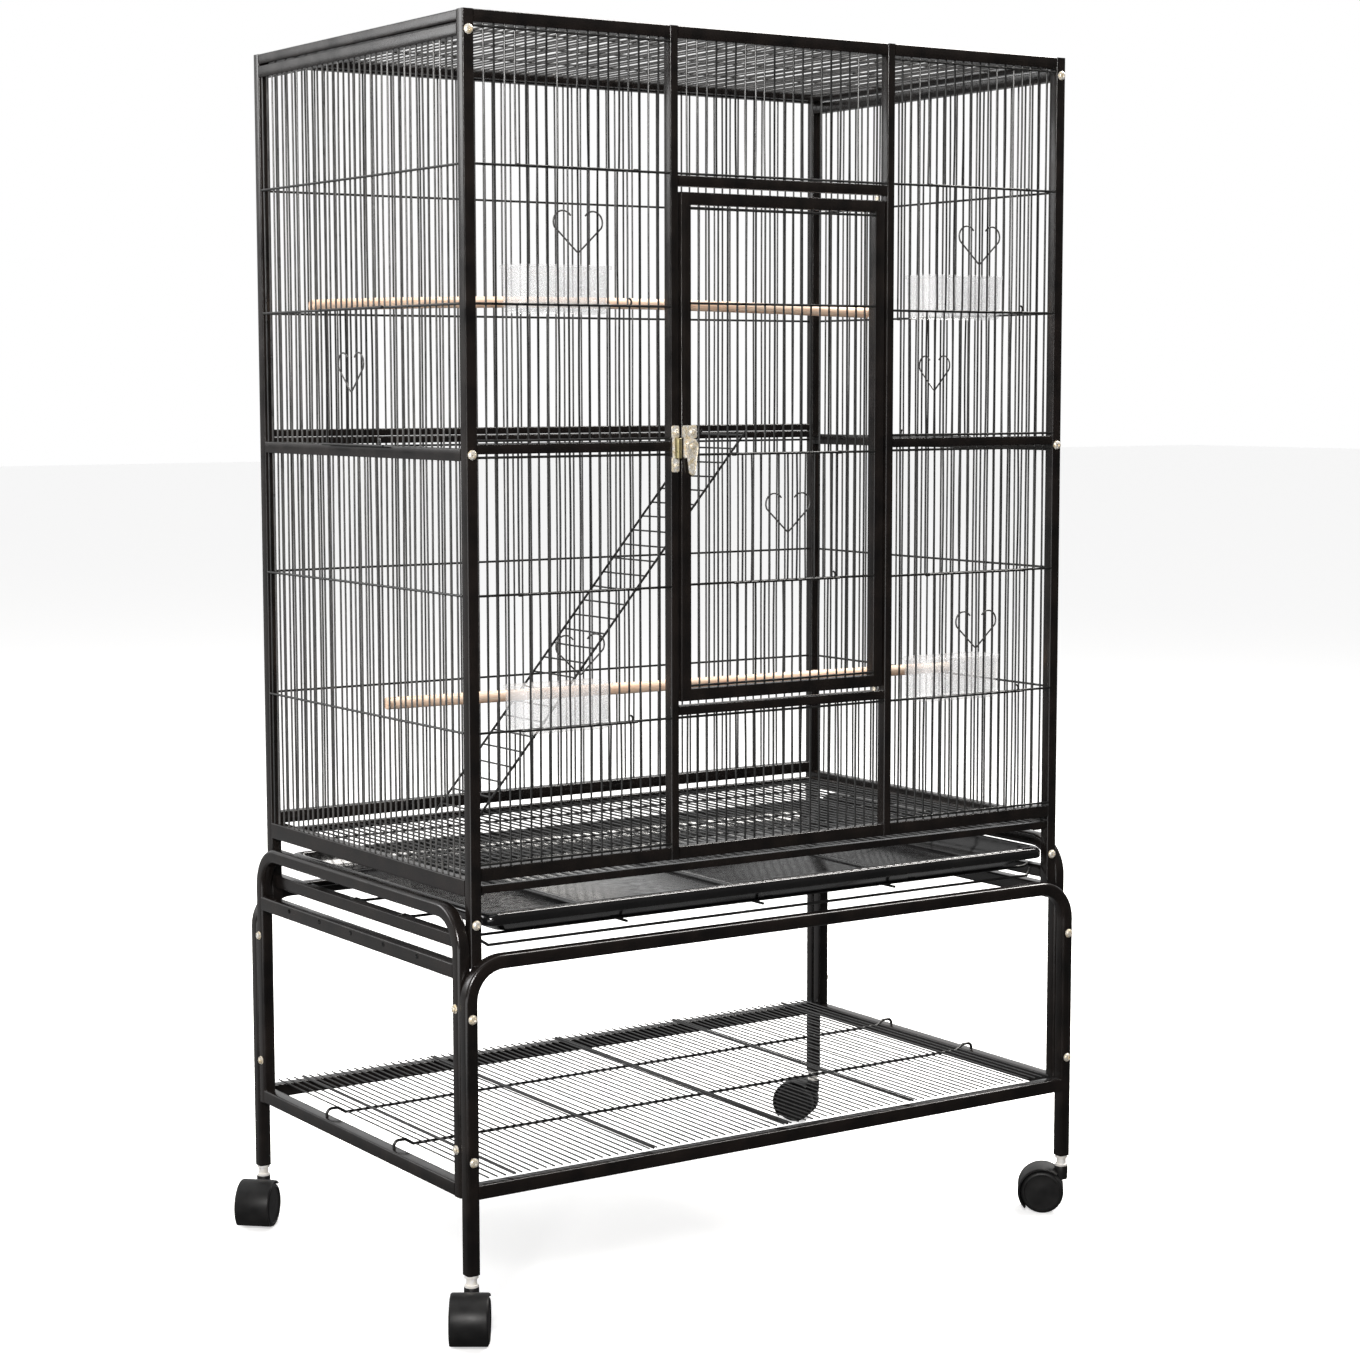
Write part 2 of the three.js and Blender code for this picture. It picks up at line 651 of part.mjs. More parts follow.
// ---- Stand --------------------------------------------------------------------------------

// An upside-down U of square tube in X and Z, with its legs down to the foot level.
function bentFrame(half, top, foot, front) {
  const t = standTube;
  const r = standBendRadius;
  const inner = r - t;
  const shape = new THREE.Shape();
  shape.moveTo(-half, foot);
  shape.lineTo(-half, top - r);
  shape.absarc(-half + r, top - r, r, Math.PI, Math.PI / 2, true);
  shape.lineTo(half - r, top);
  shape.absarc(half - r, top - r, r, Math.PI / 2, 0, true);
  shape.lineTo(half, foot);
  shape.lineTo(half - t, foot);
  shape.lineTo(half - t, top - r);
  shape.absarc(half - r, top - r, inner, 0, Math.PI / 2, false);
  shape.lineTo(-half + r, top - t);
  shape.absarc(-half + r, top - r, inner, Math.PI / 2, Math.PI, false);
  shape.lineTo(-half + t, foot);
  shape.closePath();
  return plate(shape, front, t);
}

const standHalfX = halfCage + clearance + standTube;
const shelfBar = [shelfBarTop - standTube, shelfBarTop];
const legX = standHalfX - standTube / 2;
const legY = cageDepth / 2 + clearance + standTube / 2;

// In a side's own frame the face y = 0 is the cage's side, and the stand is outside it.
function standSide() {
  const half = cageDepth / 2;
  const front = -clearance - standTube;
  const between = [-half + standTube - wireBite, half - standTube + wireBite];
  const layer = [front, -clearance];
  const drilled = box(between, layer, [drilledBarTop - drilledBarHeight, drilledBarTop]);
  const holes = Array.from({ length: drilledHoles }, (_, i) => {
    const x = (i - (drilledHoles - 1) / 2) * drilledHoleSpacing;
    return rod(drilledHoleRadius, standTube + 2, [x, front - 1, drilledBarTop - drilledHoleDrop], 'y', 6);
  });
  return join([
    bentFrame(half, sideFrameTop, shelfBar[0], front),
    holes.reduce((bar, hole) => bar.subtract(hole), drilled),
    box(between, layer, shelfBar),
  ]);
}

function standHoop() {
  const front = -clearance - standTube;
  const between = [-standHalfX + standTube - wireBite, standHalfX - standTube + wireBite];
  return join([
    bentFrame(standHalfX, hoopTop, legFoot, front),
    box(between, [front, -clearance], shelfBar),
  ]);
}

// A wire shelf that drops onto the lower bars: a rim of wire carries the thin wires, and thicker
// wires under them run out over the side bars.
function shelfGrid() {
  const halfY = cageDepth / 2 - shelfEndGap;
  const halfX = halfCage - shelfSideGap;
  const lift = shelfBarTop + clearance;
  const wireZ = [lift + rackWire + clearance, lift + rackWire + clearance + uprightWire];
  const rim = [lift + wireRecess, wireZ[1] + wireRecess];
  const wires = spread(-halfX, halfX, grillePitch).map((x) => (
    box(centred(x, uprightWire), [-halfY + 1, halfY - 1], wireZ)));
  const hookX = halfCage + clearance + standTube / 2;
  const runs = shelfRunShares.map((share) => (
    box([-hookX, hookX], centred(share * halfY, rackWire), [lift, lift + rackWire])));
  return join([
    box([-halfX, halfX], [-halfY, -halfY + rackWire], rim),
    box([-halfX, halfX], [halfY - rackWire, halfY], rim),
    box([-halfX, -halfX + rackWire], [-halfY, halfY], rim),
    box([halfX - rackWire, halfX], [-halfY, halfY], rim),
    ...runs, ...wires,
  ]);
}

addPart('stand_side_left', standSide(), powderCoat, leftSide);
addPart('stand_side_right', standSide(), powderCoat, rightSide);
addPart('stand_hoop_front', standHoop(), powderCoat, frontSide);
addPart('stand_hoop_back', standHoop(), powderCoat, backSide);
addPart('shelf_grid', shelfGrid(), powderCoat);

// ---- Bolts ----------------------------------------------------------------------------------

function boltHead(front) {
  return rod(boltHeadDiameter / 2, boltHeadHeight, [0, front - boltHeadHeight, 0], 'y', 8);
}

for (const side of [-1, 1]) {
  const hand = side < 0 ? 'left' : 'right';
  standBoltLevels.forEach((z, i) => {
    const head = boltHead(-standTube - 2 * clearance);
    const mesh = addPart(`stand_bolt_${hand}_${i + 1}`, head, zinc, frontSide);
    mesh.position.set(side * legX, 0, z);
  });
  cageScrewLevels.forEach((z, i) => {
    const mesh = addPart(`cage_screw_${hand}_${i + 1}`, boltHead(-clearance), zinc, frontSide);
    mesh.position.set(side * (halfCage - postSize / 2), 0, z);
  });
}

// ---- Casters --------------------------------------------------------------------------------

const hoodInner = wheelRadius + hoodGap;
const hoodOuter = hoodInner + hoodThickness;
const casterHalf = wheelSpread + wheelWidth;

// The wheels trail along local -Y behind the stem, on an axle along local X.
function alongX(shape, from, width, segments) {
  const settings = { depth: width, bevelEnabled: false, curveSegments: segments };
  const geometry = new THREE.ExtrudeGeometry(shape, settings);
  geometry.rotateY(Math.PI / 2);
  geometry.rotateX(Math.PI / 2);
  geometry.translate(from, 0, 0);
  return toSolid(geometry);
}

function casterFork() {
  const hood = new THREE.Shape();
  const [start, end] = hoodArc.map(THREE.MathUtils.degToRad);
  hood.absarc(-casterTrail, wheelRadius, hoodOuter, start, end, false);
  hood.absarc(-casterTrail, wheelRadius, hoodInner, end, start, true);
  hood.closePath();
  const web = new THREE.Shape();
  web.absarc(-casterTrail, wheelRadius, hoodOuter - 1, start, end, false);
  web.absarc(-casterTrail, wheelRadius, axleRadius + 4, -2.4, start - 0.4, false);
  web.closePath();
  const holeStart = [-2 * wheelSpread, -casterTrail, wheelRadius];
  const hole = rod(axleRadius + axleClearance, 4 * wheelSpread, holeStart, 'x', 8);
  const webHalf = wheelSpread - webGap;
  const bossLow = wheelRadius + bossLift;
  const bossTop = bossLow + bossHeight;
  const sunk = 2;                // the boss and the stem start inside what carries them
  return join([
    alongX(hood, -casterHalf, 2 * casterHalf, 8),
    alongX(web, -webHalf, 2 * webHalf, 6).subtract(hole),
    box([-webHalf, webHalf], [-bossRadius, bossRadius - 1], [wheelRadius + bossLift / 2, bossLow + sunk]),
    rod(bossRadius, bossHeight, [0, 0, bossLow], 'z', 10),
    rod(stemRadius, legFoot - clearance - bossTop + sunk, [0, 0, bossTop - sunk], 'z', 8),
  ]);
}

function casterWheels() {
  const discs = [-casterHalf, wheelSpread].map((x) => (
    rod(wheelRadius, wheelWidth, [x, -casterTrail, wheelRadius], 'x', 24)));
  const axle = rod(axleRadius, 2 * wheelSpread + 2, [-wheelSpread - 1, -casterTrail, wheelRadius], 'x', 10);
  return join([...discs, axle]);
}

for (const [place, turn] of Object.entries(casterTurns)) {
  const caster = new THREE.Group();
  const x = place.endsWith('left') ? -legX : legX;
  const y = place.startsWith('front') ? -legY : legY;
  caster.position.set(x, y, 0);
  caster.rotation.z = THREE.MathUtils.degToRad(turn);
  cage.add(caster);
  addPart(`caster_fork_${place}`, casterFork(), casterPlastic, caster);
  addPart(`caster_wheels_${place}`, casterWheels(), casterPlastic, caster);
}

// The origin is under the middle of the whole object, casters included.
cage.updateMatrixWorld(true);
const extent = new THREE.Box3().setFromObject(cage, true);
const middle = extent.getCenter(new THREE.Vector3());
cage.position.set(-middle.x, -middle.y, -extent.min.z);

export default cage;
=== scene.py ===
"""Looks of a flight cage on its rolling stand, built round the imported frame. Metres, +Z up."""
import json
import math

import bmesh
import bpy
from mathutils import Matrix, Vector


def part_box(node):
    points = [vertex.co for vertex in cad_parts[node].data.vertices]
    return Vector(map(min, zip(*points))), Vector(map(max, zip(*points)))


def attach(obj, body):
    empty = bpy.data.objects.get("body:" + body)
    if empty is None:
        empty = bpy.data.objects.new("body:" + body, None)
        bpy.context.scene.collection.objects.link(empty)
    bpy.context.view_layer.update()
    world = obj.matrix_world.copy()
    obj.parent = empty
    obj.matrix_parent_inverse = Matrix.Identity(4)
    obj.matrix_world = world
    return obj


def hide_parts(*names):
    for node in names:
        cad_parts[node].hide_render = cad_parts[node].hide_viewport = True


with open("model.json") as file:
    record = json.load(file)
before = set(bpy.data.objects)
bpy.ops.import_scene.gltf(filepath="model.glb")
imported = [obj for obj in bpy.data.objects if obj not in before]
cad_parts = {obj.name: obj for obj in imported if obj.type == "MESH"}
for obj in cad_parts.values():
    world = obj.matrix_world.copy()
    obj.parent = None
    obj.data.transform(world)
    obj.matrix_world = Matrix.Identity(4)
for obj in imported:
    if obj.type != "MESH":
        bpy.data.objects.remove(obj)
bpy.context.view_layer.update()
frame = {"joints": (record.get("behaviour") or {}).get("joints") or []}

# ---- Sizes that the frame doesn't give ----

POST = 0.0127              # square tube of the posts, the rims and the door
BAR = 0.010                # square tube of the door posts, the sill and the front middle bars
STAND = 0.015              # square tube of the stand
STAND_BEND = 0.046         # outside radius of its bends
STAND_EDGE = 0.0038        # rounding along the corners of the stand's bent tubes
TUBE_EDGE = 0.0014         # rounding along the corners of the square tubes
UPRIGHT = 0.0022           # grille wire, upright
CROSS = 0.0026             # grille wire, lying across
PITCH = 0.0122             # spacing of the grille wires
SHELF_PITCH = 0.0098       # spacing of the thin wires of the shelf
BITE = 0.002               # how far a wire runs into the bar that holds it
BOW = 0.0007               # how far a drawn wire strays from straight
FRONT_BAR = 0.0135         # heights of the foot bars, front and side
SIDE_BAR = 0.018
HEADER_BAR = 0.011         # height of the bar over the door
MID_BAR = 0.904            # level of the front middle bars
SIDE_MID_BAR = 0.8985
BACK_MID = (0.901, 0.918)  # the back's middle bar, two tubes one on the other
EDGE_WIRE = 0.0034         # end wires of a welded field, off the bars that hold it
DOOR_POST = 0.1365         # middle of the door opening to the near face of a door post
GAP = 0.0003               # between separate pieces that touch in use

X, Y, Z = Vector((1, 0, 0)), Vector((0, 1, 0)), Vector((0, 0, 1))


# ---- Places from the frame ----

def corners(node):
    low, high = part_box(node)
    return low.copy(), high.copy()


left_low = corners("left_panel")[0]
right_high = corners("right_panel")[1]
front_low, front_high = corners("front_left_section")
back_high = corners("back_panel")[1]
middle = Vector(((left_low.x + right_high.x) / 2, (front_low.y + back_high.y) / 2, 0))
HALF_WIDTH = (right_high.x - left_low.x) / 2
HALF_DEPTH = (back_high.y - front_low.y) / 2
TOP = front_high.z
POST_FOOT = front_low.z
POST_INNER = HALF_WIDTH - POST


def side_place(turn, distance):
    """A side of the cage as a frame of its own: x along it, y inwards from its face, z up."""
    spin = Matrix.Rotation(math.radians(turn), 4, "Z")
    outward = spin @ Vector((0, -distance, 0))
    return Matrix.Translation(middle + outward) @ spin


FRONT = side_place(0, HALF_DEPTH)
BACK = side_place(180, HALF_DEPTH)
LEFT = side_place(-90, HALF_WIDTH)
RIGHT = side_place(90, HALF_WIDTH)
CENTRE = Matrix.Translation(middle)


def local_box(place, node):
    low, high = corners(node)
    back = place.inverted()
    a, b = back @ low, back @ high
    return Vector(map(min, a, b)), Vector(map(max, a, b))


sill_low, sill_high = corners("front_sill_section")
header_low = corners("front_header_section")[0]
upper_gate = local_box(FRONT, "gate_front_left_upper")
lower_gate = local_box(FRONT, "gate_front_left_lower")
WIRE_LEVELS = [
    lower_gate[0].z + CROSS / 2, lower_gate[1].z - CROSS / 2,
    upper_gate[0].z + CROSS / 2, upper_gate[1].z - CROSS / 2,
]
TOP_BAR = (TOP - POST, TOP)
FRONT_FOOT_BAR = (sill_low.z, sill_low.z + FRONT_BAR)
MID = (MID_BAR - BAR / 2, MID_BAR + BAR / 2)
DOOR_POST_FAR = DOOR_POST + BAR


# ---- Materials ----

def new_material(name):
    material = bpy.data.materials.new(name)
    material.use_nodes = True
    tree = material.node_tree
    return material, tree, tree.nodes["Principled BSDF"]


def add_node(tree, kind, links=(), **values):
    """A node with its values set and its inputs joined to other nodes' outputs."""
    node = tree.nodes.new(kind)
    for key, value in values.items():
        if key in node.bl_rna.properties:
            setattr(node, key, value)
        else:
            node.inputs[key.replace("_", " ")].default_value = value
    for socket, source in links:
        tree.links.new(source, node.inputs[socket])
    return node


def math_node(tree, operation, *terms):
    """Arithmetic on sockets and plain numbers."""
    node = tree.nodes.new("ShaderNodeMath")
    node.operation = operation
    for socket, term in zip(node.inputs, terms):
        if isinstance(term, (int, float)):
            socket.default_value = term
        else:
            tree.links.new(term, socket)
    return node.outputs[0]


def grain(tree, scale, detail=3.0, roughness=0.5, stretch=(1, 1, 1)):
    """Noise in the piece's own coordinates, at so many spots a metre."""
    place = tree.nodes.new("ShaderNodeTexCoord").outputs["Object"]
    mapping = add_node(tree, "ShaderNodeMapping", [("Vector", place)], Scale=stretch)
    noise = add_node(tree, "ShaderNodeTexNoise", [("Vector", mapping.outputs["Vector"])],
                     Scale=scale, Detail=detail, Roughness=roughness)
    return noise.outputs["Fac"]


def tint(tree, shader, source, *stops):
    """Base colour from (level, colour) stops over a noise."""
    node = add_node(tree, "ShaderNodeValToRGB", [("Fac", source)])
    elements = node.color_ramp.elements
    for element, (level, colour) in zip(elements, stops):
        element.position, element.color = level, (*colour, 1)
    for level, colour in stops[2:]:
        elements.new(level).color = (*colour, 1)
    tree.links.new(node.outputs["Color"], shader.inputs["Base Color"])


def dull(tree, shader, source, low, high):
    """Roughness from low to high over the middle of a noise."""
    node = add_node(tree, "ShaderNodeMapRange", [("Value", source)],
                    From_Min=0.3, From_Max=0.7, To_Min=low, To_Max=high)
    tree.links.new(node.outputs["Result"], shader.inputs["Roughness"])


def relief(tree, shader, source, height, strength):
    """Fine relief from a noise, its height in metres."""
    node = add_node(tree, "ShaderNodeBump", [("Height", source)], Strength=strength, Distance=height)
    tree.links.new(node.outputs["Normal"], shader.inputs["Normal"])


def powder_coat_material():
    """Semi-gloss black powder coat: a faint orange peel and a random mottle, its browner stop painted warm
    reflection.
    """
    material, tree, shader = new_material("black_powder_coat")
    clouds = grain(tree, 34, 4)
    # painted reflection: the browner, lighter stop stands in for warm reflections on the coat
    tint(tree, shader, clouds, (0.34, (0.0060, 0.0052, 0.0050)), (0.72, (0.0140, 0.0104, 0.0088)))
    dull(tree, shader, clouds, 0.15, 0.27)
    relief(tree, shader, grain(tree, 520, 2), 0.00004, 0.6)
    shader.inputs["Specular IOR Level"].default_value = 0.55
    return material


def wire_coat_material(name, dark, pale):
    """The same coat on drawn wire, a little thinner and duller; a paler copy of it is painted light."""
    material, tree, shader = new_material(name)
    clouds = grain(tree, 60, 3)
    tint(tree, shader, clouds, (0.3, (dark, dark, dark)), (0.7, (pale, pale * 0.97, pale * 0.94)))
    dull(tree, shader, clouds, 0.26, 0.40)
    relief(tree, shader, grain(tree, 800, 1), 0.00003, 0.5)
    shader.inputs["Specular IOR Level"].default_value = 0.55
    return material


def zinc_material(name, pale, warm, roughness, metal):
    """Zinc plate: pale and straw-coloured patches over fine rolling marks."""
    material, tree, shader = new_material(name)
    tint(tree, shader, grain(tree, 210, 3), (0.36, pale), (0.66, warm))
    dull(tree, shader, grain(tree, 900, 2), *roughness)
    relief(tree, shader, grain(tree, 1500, 2, stretch=(1, 1, 6)), 0.00002, 0.2)
    shader.inputs["Metallic"].default_value = metal
    return material


def dowel_material():
    """Pale dowel wood with its grain along the dowel."""
    material, tree, shader = new_material("dowel_wood")
    streaks = grain(tree, 240, 5, 0.6, stretch=(0.045, 1, 1))
    tint(tree, shader, streaks, (0.30, (0.90, 0.565, 0.380)), (0.72, (0.98, 0.800, 0.640)),
         (0.52, (0.96, 0.700, 0.520)))
    dull(tree, shader, streaks, 0.62, 0.48)
    relief(tree, shader, streaks, 0.00018, 0.5)
    return material


def cup_material():
    """Clear moulded plastic, slightly clouded."""
    material, tree, shader = new_material("cup_clear_plastic")
    cloud = grain(tree, 45, 3)
    tint(tree, shader, cloud, (0.3, (0.95, 0.96, 0.97)), (0.7, (0.98, 0.98, 0.99)))
    dull(tree, shader, cloud, 0.16, 0.26)
    relief(tree, shader, grain(tree, 40, 1), 0.0002, 0.12)
    shader.inputs["IOR"].default_value = 1.50
    shader.inputs["Transmission Weight"].default_value = 0.30
    shader.inputs["Alpha"].default_value = 0.28
    return material


def tray_material():
    """Glossy black sheet plastic with the slight waves of vacuum forming."""
    material, tree, shader = new_material("tray_black_plastic")
    waves = grain(tree, 16, 2)
    tint(tree, shader, waves, (0.3, (0.0050, 0.0050, 0.0054)), (0.7, (0.0105, 0.0102, 0.0102)))
    dull(tree, shader, grain(tree, 90, 3), 0.10, 0.18)
    relief(tree, shader, waves, 0.0004, 0.25)
    shader.inputs["Specular IOR Level"].default_value = 0.8
    return material


def caster_material():
    """Matte black moulded plastic with a fine spark texture."""
    material, tree, shader = new_material("caster_black_plastic")
    cloud = grain(tree, 70, 3)
    tint(tree, shader, cloud, (0.3, (0.0085, 0.0085, 0.0088)), (0.7, (0.0150, 0.0147, 0.0147)))
    dull(tree, shader, cloud, 0.38, 0.50)
    relief(tree, shader, grain(tree, 1400, 2), 0.00006, 0.6)
    shader.inputs["Specular IOR Level"].default_value = 0.25
    return material


COAT = powder_coat_material()
WIRE_COAT = wire_coat_material("black_wire_coat", 0.006, 0.016)
# painted light: a paler copy of the wire coat, for the lit look of the back, side and roof wires and the gate
# hearts
PAINTED_LIGHTER_WIRE_COAT = wire_coat_material("wire_coat_painted_lighter", 0.040, 0.085)
ZINC = zinc_material("screw_zinc", (0.93, 0.91, 0.87), (0.84, 0.70, 0.46), (0.20, 0.34), 0.45)
STEM_ZINC = zinc_material(
    "stem_bright_zinc", (0.97, 0.96, 0.95), (0.93, 0.89, 0.82), (0.30, 0.42), 0.15)
# brass barrel, its tone darkened as painted shade for the shade it sits in under the keeper
SHADE_DARKENED_BARREL = zinc_material(
    "latch_barrel_brass_painted_dark", (0.36, 0.31, 0.16), (0.26, 0.22, 0.11), (0.30, 0.42), 0.7)
WOOD = dowel_material()
CLEAR = cup_material()
TRAY = tray_material()
CASTER = caster_material()


# ---- Shapes ----

def rounded_section(width, height, radius, steps=3):
    """Points round a rectangle with rounded corners, anticlockwise about its middle."""
    points = []
    for i, (sx, sy) in enumerate([(1, 1), (-1, 1), (-1, -1), (1, -1)]):
        for k in range(steps + 1):
            a = math.radians(90 * (i + k / steps))
            points.append(Vector((
                sx * (width / 2 - radius) + radius * math.cos(a),
                sy * (height / 2 - radius) + radius * math.sin(a))))
    return points


def round_section(diameter, sides=10):
    turns = [2 * math.pi * i / sides for i in range(sides)]
    return [Vector((math.cos(a), math.sin(a))) * (diameter / 2) for a in turns]


TUBE = rounded_section(POST, POST, TUBE_EDGE)
STAND_TUBE = rounded_section(STAND, STAND, STAND_EDGE, 5)


def skin(bm, rings, closed):
    """Faces over a row of rings, with a flat end on each open one."""
    count = len(rings[0])
    pairs = list(zip(rings, rings[1:] + rings[:1])) if closed else list(zip(rings, rings[1:]))
    for low, high in pairs:
        for j in range(count):
            k = (j + 1) % count
            bm.faces.new((low[j], low[k], high[k], high[j]))
    if not closed:
        bm.faces.new(list(reversed(rings[0])))
        bm.faces.new(rings[-1])


def sweep(bm, section, path, normal, closed=False):
    """Carries a section along a flat path, mitred at its corners. The section's first axis lies in
    the path's plane and its second along the plane's normal."""
    normal = Vector(normal).normalized()
    path = [Vector(p) for p in path]
    rings = []
    for i, point in enumerate(path):
        last = len(path) - 1
        into = (point - path[i - 1]).normalized() if i > 0 or closed else None
        out = (path[(i + 1) % len(path)] - point).normalized() if i < last or closed else None
        into = out if into is None else into
        out = into if out is None else out
        side = normal.cross((into + out).normalized()).normalized()
        stretch = 1 / max(side.dot(normal.cross(out).normalized()), 0.4)
        rings.append([bm.verts.new(point + side * (c.x * stretch) + normal * c.y) for c in section])
    skin(bm, rings, closed)


def bar(bm, low, high, edge=TUBE_EDGE):
    """A straight square tube between two corners, its long corners rounded."""
    low, high = Vector(low), Vector(high)
    size, centre = high - low, (low + high) / 2
    along = max(range(3), key=lambda i: size[i])
    normal = Y if along == 2 else Z
    run = [X, Y, Z][along]
    wide = size[1] if along == 0 else size[0]
    tall = size[1] if along == 2 else size[2]
    ends = [centre - run * size[along] / 2, centre + run * size[along] / 2]
    sweep(bm, rounded_section(wide, tall, min(edge, wide / 3, tall / 3)), ends, normal)


def arc(centre, radius, start, end, steps, u=X, v=Z):
    """Points on an arc in the plane of u and v, angles in degrees."""
    angles = [math.radians(start + (end - start) * i / steps) for i in range(steps + 1)]
    return [Vector(centre) + u * (radius * math.cos(a)) + v * (radius * math.sin(a)) for a in angles]


def spin_profile(bm, profile, place, segments=32):
    """Turns a profile of (radius, height) points about z."""
    rings = []
    for i in range(segments):
        a = math.radians(360 * i / segments)
        rings.append([
            bm.verts.new(place @ Vector((r * math.cos(a), r * math.sin(a), h))) for r, h in profile])
    for near, far in zip(rings, rings[1:] + rings[:1]):
        for j in range(len(profile) - 1):
            bm.faces.new((near[j], far[j], far[j + 1], near[j + 1]))


def tidy(bm, distance=1e-6):
    bmesh.ops.remove_doubles(bm, verts=bm.verts, dist=distance)
    bmesh.ops.dissolve_degenerate(bm, edges=bm.edges, dist=distance / 2)
    bmesh.ops.recalc_face_normals(bm, faces=bm.faces)


def shape(build):
    """A mesh from a function that fills a bmesh."""
    bm = bmesh.new()
    build(bm)
    mesh = bpy.data.meshes.new("shape")
    bm.to_mesh(mesh)
    bm.free()
    return mesh


def lathe(profile, place=Matrix.Identity(4), segments=20):
    """A closed turned mesh, with its points on the axis and its seam joined."""
    return shape(lambda bm: (spin_profile(bm, profile, place, segments), tidy(bm)))


def new_object(name, data):
    obj = bpy.data.objects.new(name, data)
    bpy.context.scene.collection.objects.link(obj)
    return obj


def evaluated_mesh(obj):
    mesh = bpy.data.meshes.new_from_object(obj.evaluated_get(bpy.context.evaluated_depsgraph_get()))
    bpy.data.objects.remove(obj)
    return mesh


def put(name, body, shells, replaces=(), place=Matrix.Identity(4), sharp=38):
    """One finished piece from (mesh, material) shells: joined, placed and riding on its body."""
    bm = bmesh.new()
    materials = []
    for mesh, material in shells:
        if material not in materials:
            materials.append(material)
        bm.faces.ensure_lookup_table()
        first = len(bm.faces)
        bm.from_mesh(mesh)
        bm.faces.ensure_lookup_table()
        for face in bm.faces[first:]:
            face.material_index = materials.index(material)
    mesh = bpy.data.meshes.new(name)
    bm.to_mesh(mesh)
    bm.free()
    mesh.transform(place)
    for material in materials:
        mesh.materials.append(material)
    mesh.polygons.foreach_set("use_smooth", [True] * len(mesh.polygons))
    mesh.set_sharp_from_angle(angle=math.radians(sharp))
    piece = new_object(name, mesh)
    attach(piece, body)
    if replaces:
        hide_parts(*replaces)
    return piece


# ---- Geometry Nodes: ranks of wires, and heads set at points ----

def new_tree(name, inputs):
    tree = bpy.data.node_groups.new(name, "GeometryNodeTree")
    tree.interface.new_socket("Geometry", in_out="INPUT", socket_type="NodeSocketGeometry")
    for label, kind in inputs:
        tree.interface.new_socket(label, in_out="INPUT", socket_type=f"NodeSocket{kind}")
    tree.interface.new_socket("Geometry", in_out="OUTPUT", socket_type="NodeSocketGeometry")
    return tree, tree.nodes.new("NodeGroupInput"), tree.nodes.new("NodeGroupOutput")


def finish_tree(tree, made, geometry, material):
    """The end of a tree: its copies made real, and its material set."""
    whole = add_node(tree, "GeometryNodeRealizeInstances", [("Geometry", geometry)])
    coat = add_node(tree, "GeometryNodeSetMaterial", [
        ("Geometry", whole.outputs["Geometry"]), ("Material", material)])
    tree.links.new(coat.outputs["Geometry"], made.inputs["Geometry"])


def wire_rank_tree():
    """A wire from each point of the mesh, all along one run, each a little bowed."""
    tree, given, made = new_tree("wire_rank", [
        ("Run", "Vector"), ("Diameter", "Float"), ("Bow", "Float"), ("Sides", "Int"),
        ("Seed", "Int"), ("Coat", "Material")])
    run = given.outputs
    line = add_node(tree, "GeometryNodeCurvePrimitiveLine", [("End", run["Run"])])
    steps = add_node(tree, "GeometryNodeResampleCurve", [("Curve", line.outputs["Curve"])], Count=5)
    copies = add_node(tree, "GeometryNodeInstanceOnPoints", [
        ("Points", run["Geometry"]), ("Instance", steps.outputs["Curve"])])
    real = add_node(tree, "GeometryNodeRealizeInstances", [("Geometry", copies.outputs["Instances"])])

    factor = tree.nodes.new("GeometryNodeSplineParameter")
    hump = math_node(tree, "SINE", math_node(tree, "MULTIPLY", factor.outputs["Factor"], math.pi))
    stray = math_node(tree, "MULTIPLY", hump, run["Bow"])
    which = tree.nodes.new("GeometryNodeCurveOfPoint")
    chance = add_node(tree, "FunctionNodeRandomValue", [
        ("ID", which.outputs["Curve Index"]), ("Seed", run["Seed"])], data_type="FLOAT_VECTOR")
    chance.inputs[0].default_value = (-1, -1, -1)
    chance.inputs[1].default_value = (1, 1, 1)
    offset = add_node(
        tree, "ShaderNodeVectorMath", [(0, chance.outputs[0]), ("Scale", stray)], operation="SCALE")
    bend = add_node(tree, "GeometryNodeSetPosition", [
        ("Geometry", real.outputs["Geometry"]), ("Offset", offset.outputs["Vector"])])

    ring = add_node(tree, "GeometryNodeCurvePrimitiveCircle", [
        ("Resolution", run["Sides"]), ("Radius", math_node(tree, "MULTIPLY", run["Diameter"], 0.5))])
    tube = add_node(tree, "GeometryNodeCurveToMesh", [
        ("Curve", bend.outputs["Geometry"]), ("Profile Curve", ring.outputs["Curve"])], Fill_Caps=True)
    finish_tree(tree, made, tube.outputs["Mesh"], run["Coat"])
    return tree


def head_tree():
    """A copy of one small part at each point of the mesh, turned one way, each spun by chance."""
    tree, given, made = new_tree("fastener_heads", [
        ("Head", "Object"), ("Turn", "Rotation"), ("Seed", "Int"), ("Plate", "Material")])
    run = given.outputs
    part = add_node(tree, "GeometryNodeObjectInfo", [("Object", run["Head"])])
    chance = add_node(tree, "FunctionNodeRandomValue", [("Seed", run["Seed"])], data_type="FLOAT")
    chance.inputs[3].default_value = math.tau
    spin = add_node(tree, "ShaderNodeCombineXYZ", [("Z", chance.outputs[1])])
    to_turn = add_node(tree, "FunctionNodeEulerToRotation", [("Euler", spin.outputs["Vector"])])
    both = add_node(tree, "FunctionNodeRotateRotation", [
        ("Rotation", run["Turn"]), ("Rotate By", to_turn.outputs["Rotation"])], rotation_space="LOCAL")
    copies = add_node(tree, "GeometryNodeInstanceOnPoints", [
        ("Points", run["Geometry"]), ("Instance", part.outputs["Geometry"]),
        ("Rotation", both.outputs["Rotation"])])
    finish_tree(tree, made, copies.outputs["Instances"], run["Plate"])
    return tree


WIRE_RANK = wire_rank_tree()
HEADS = head_tree()
seeds = iter(range(11, 4000))


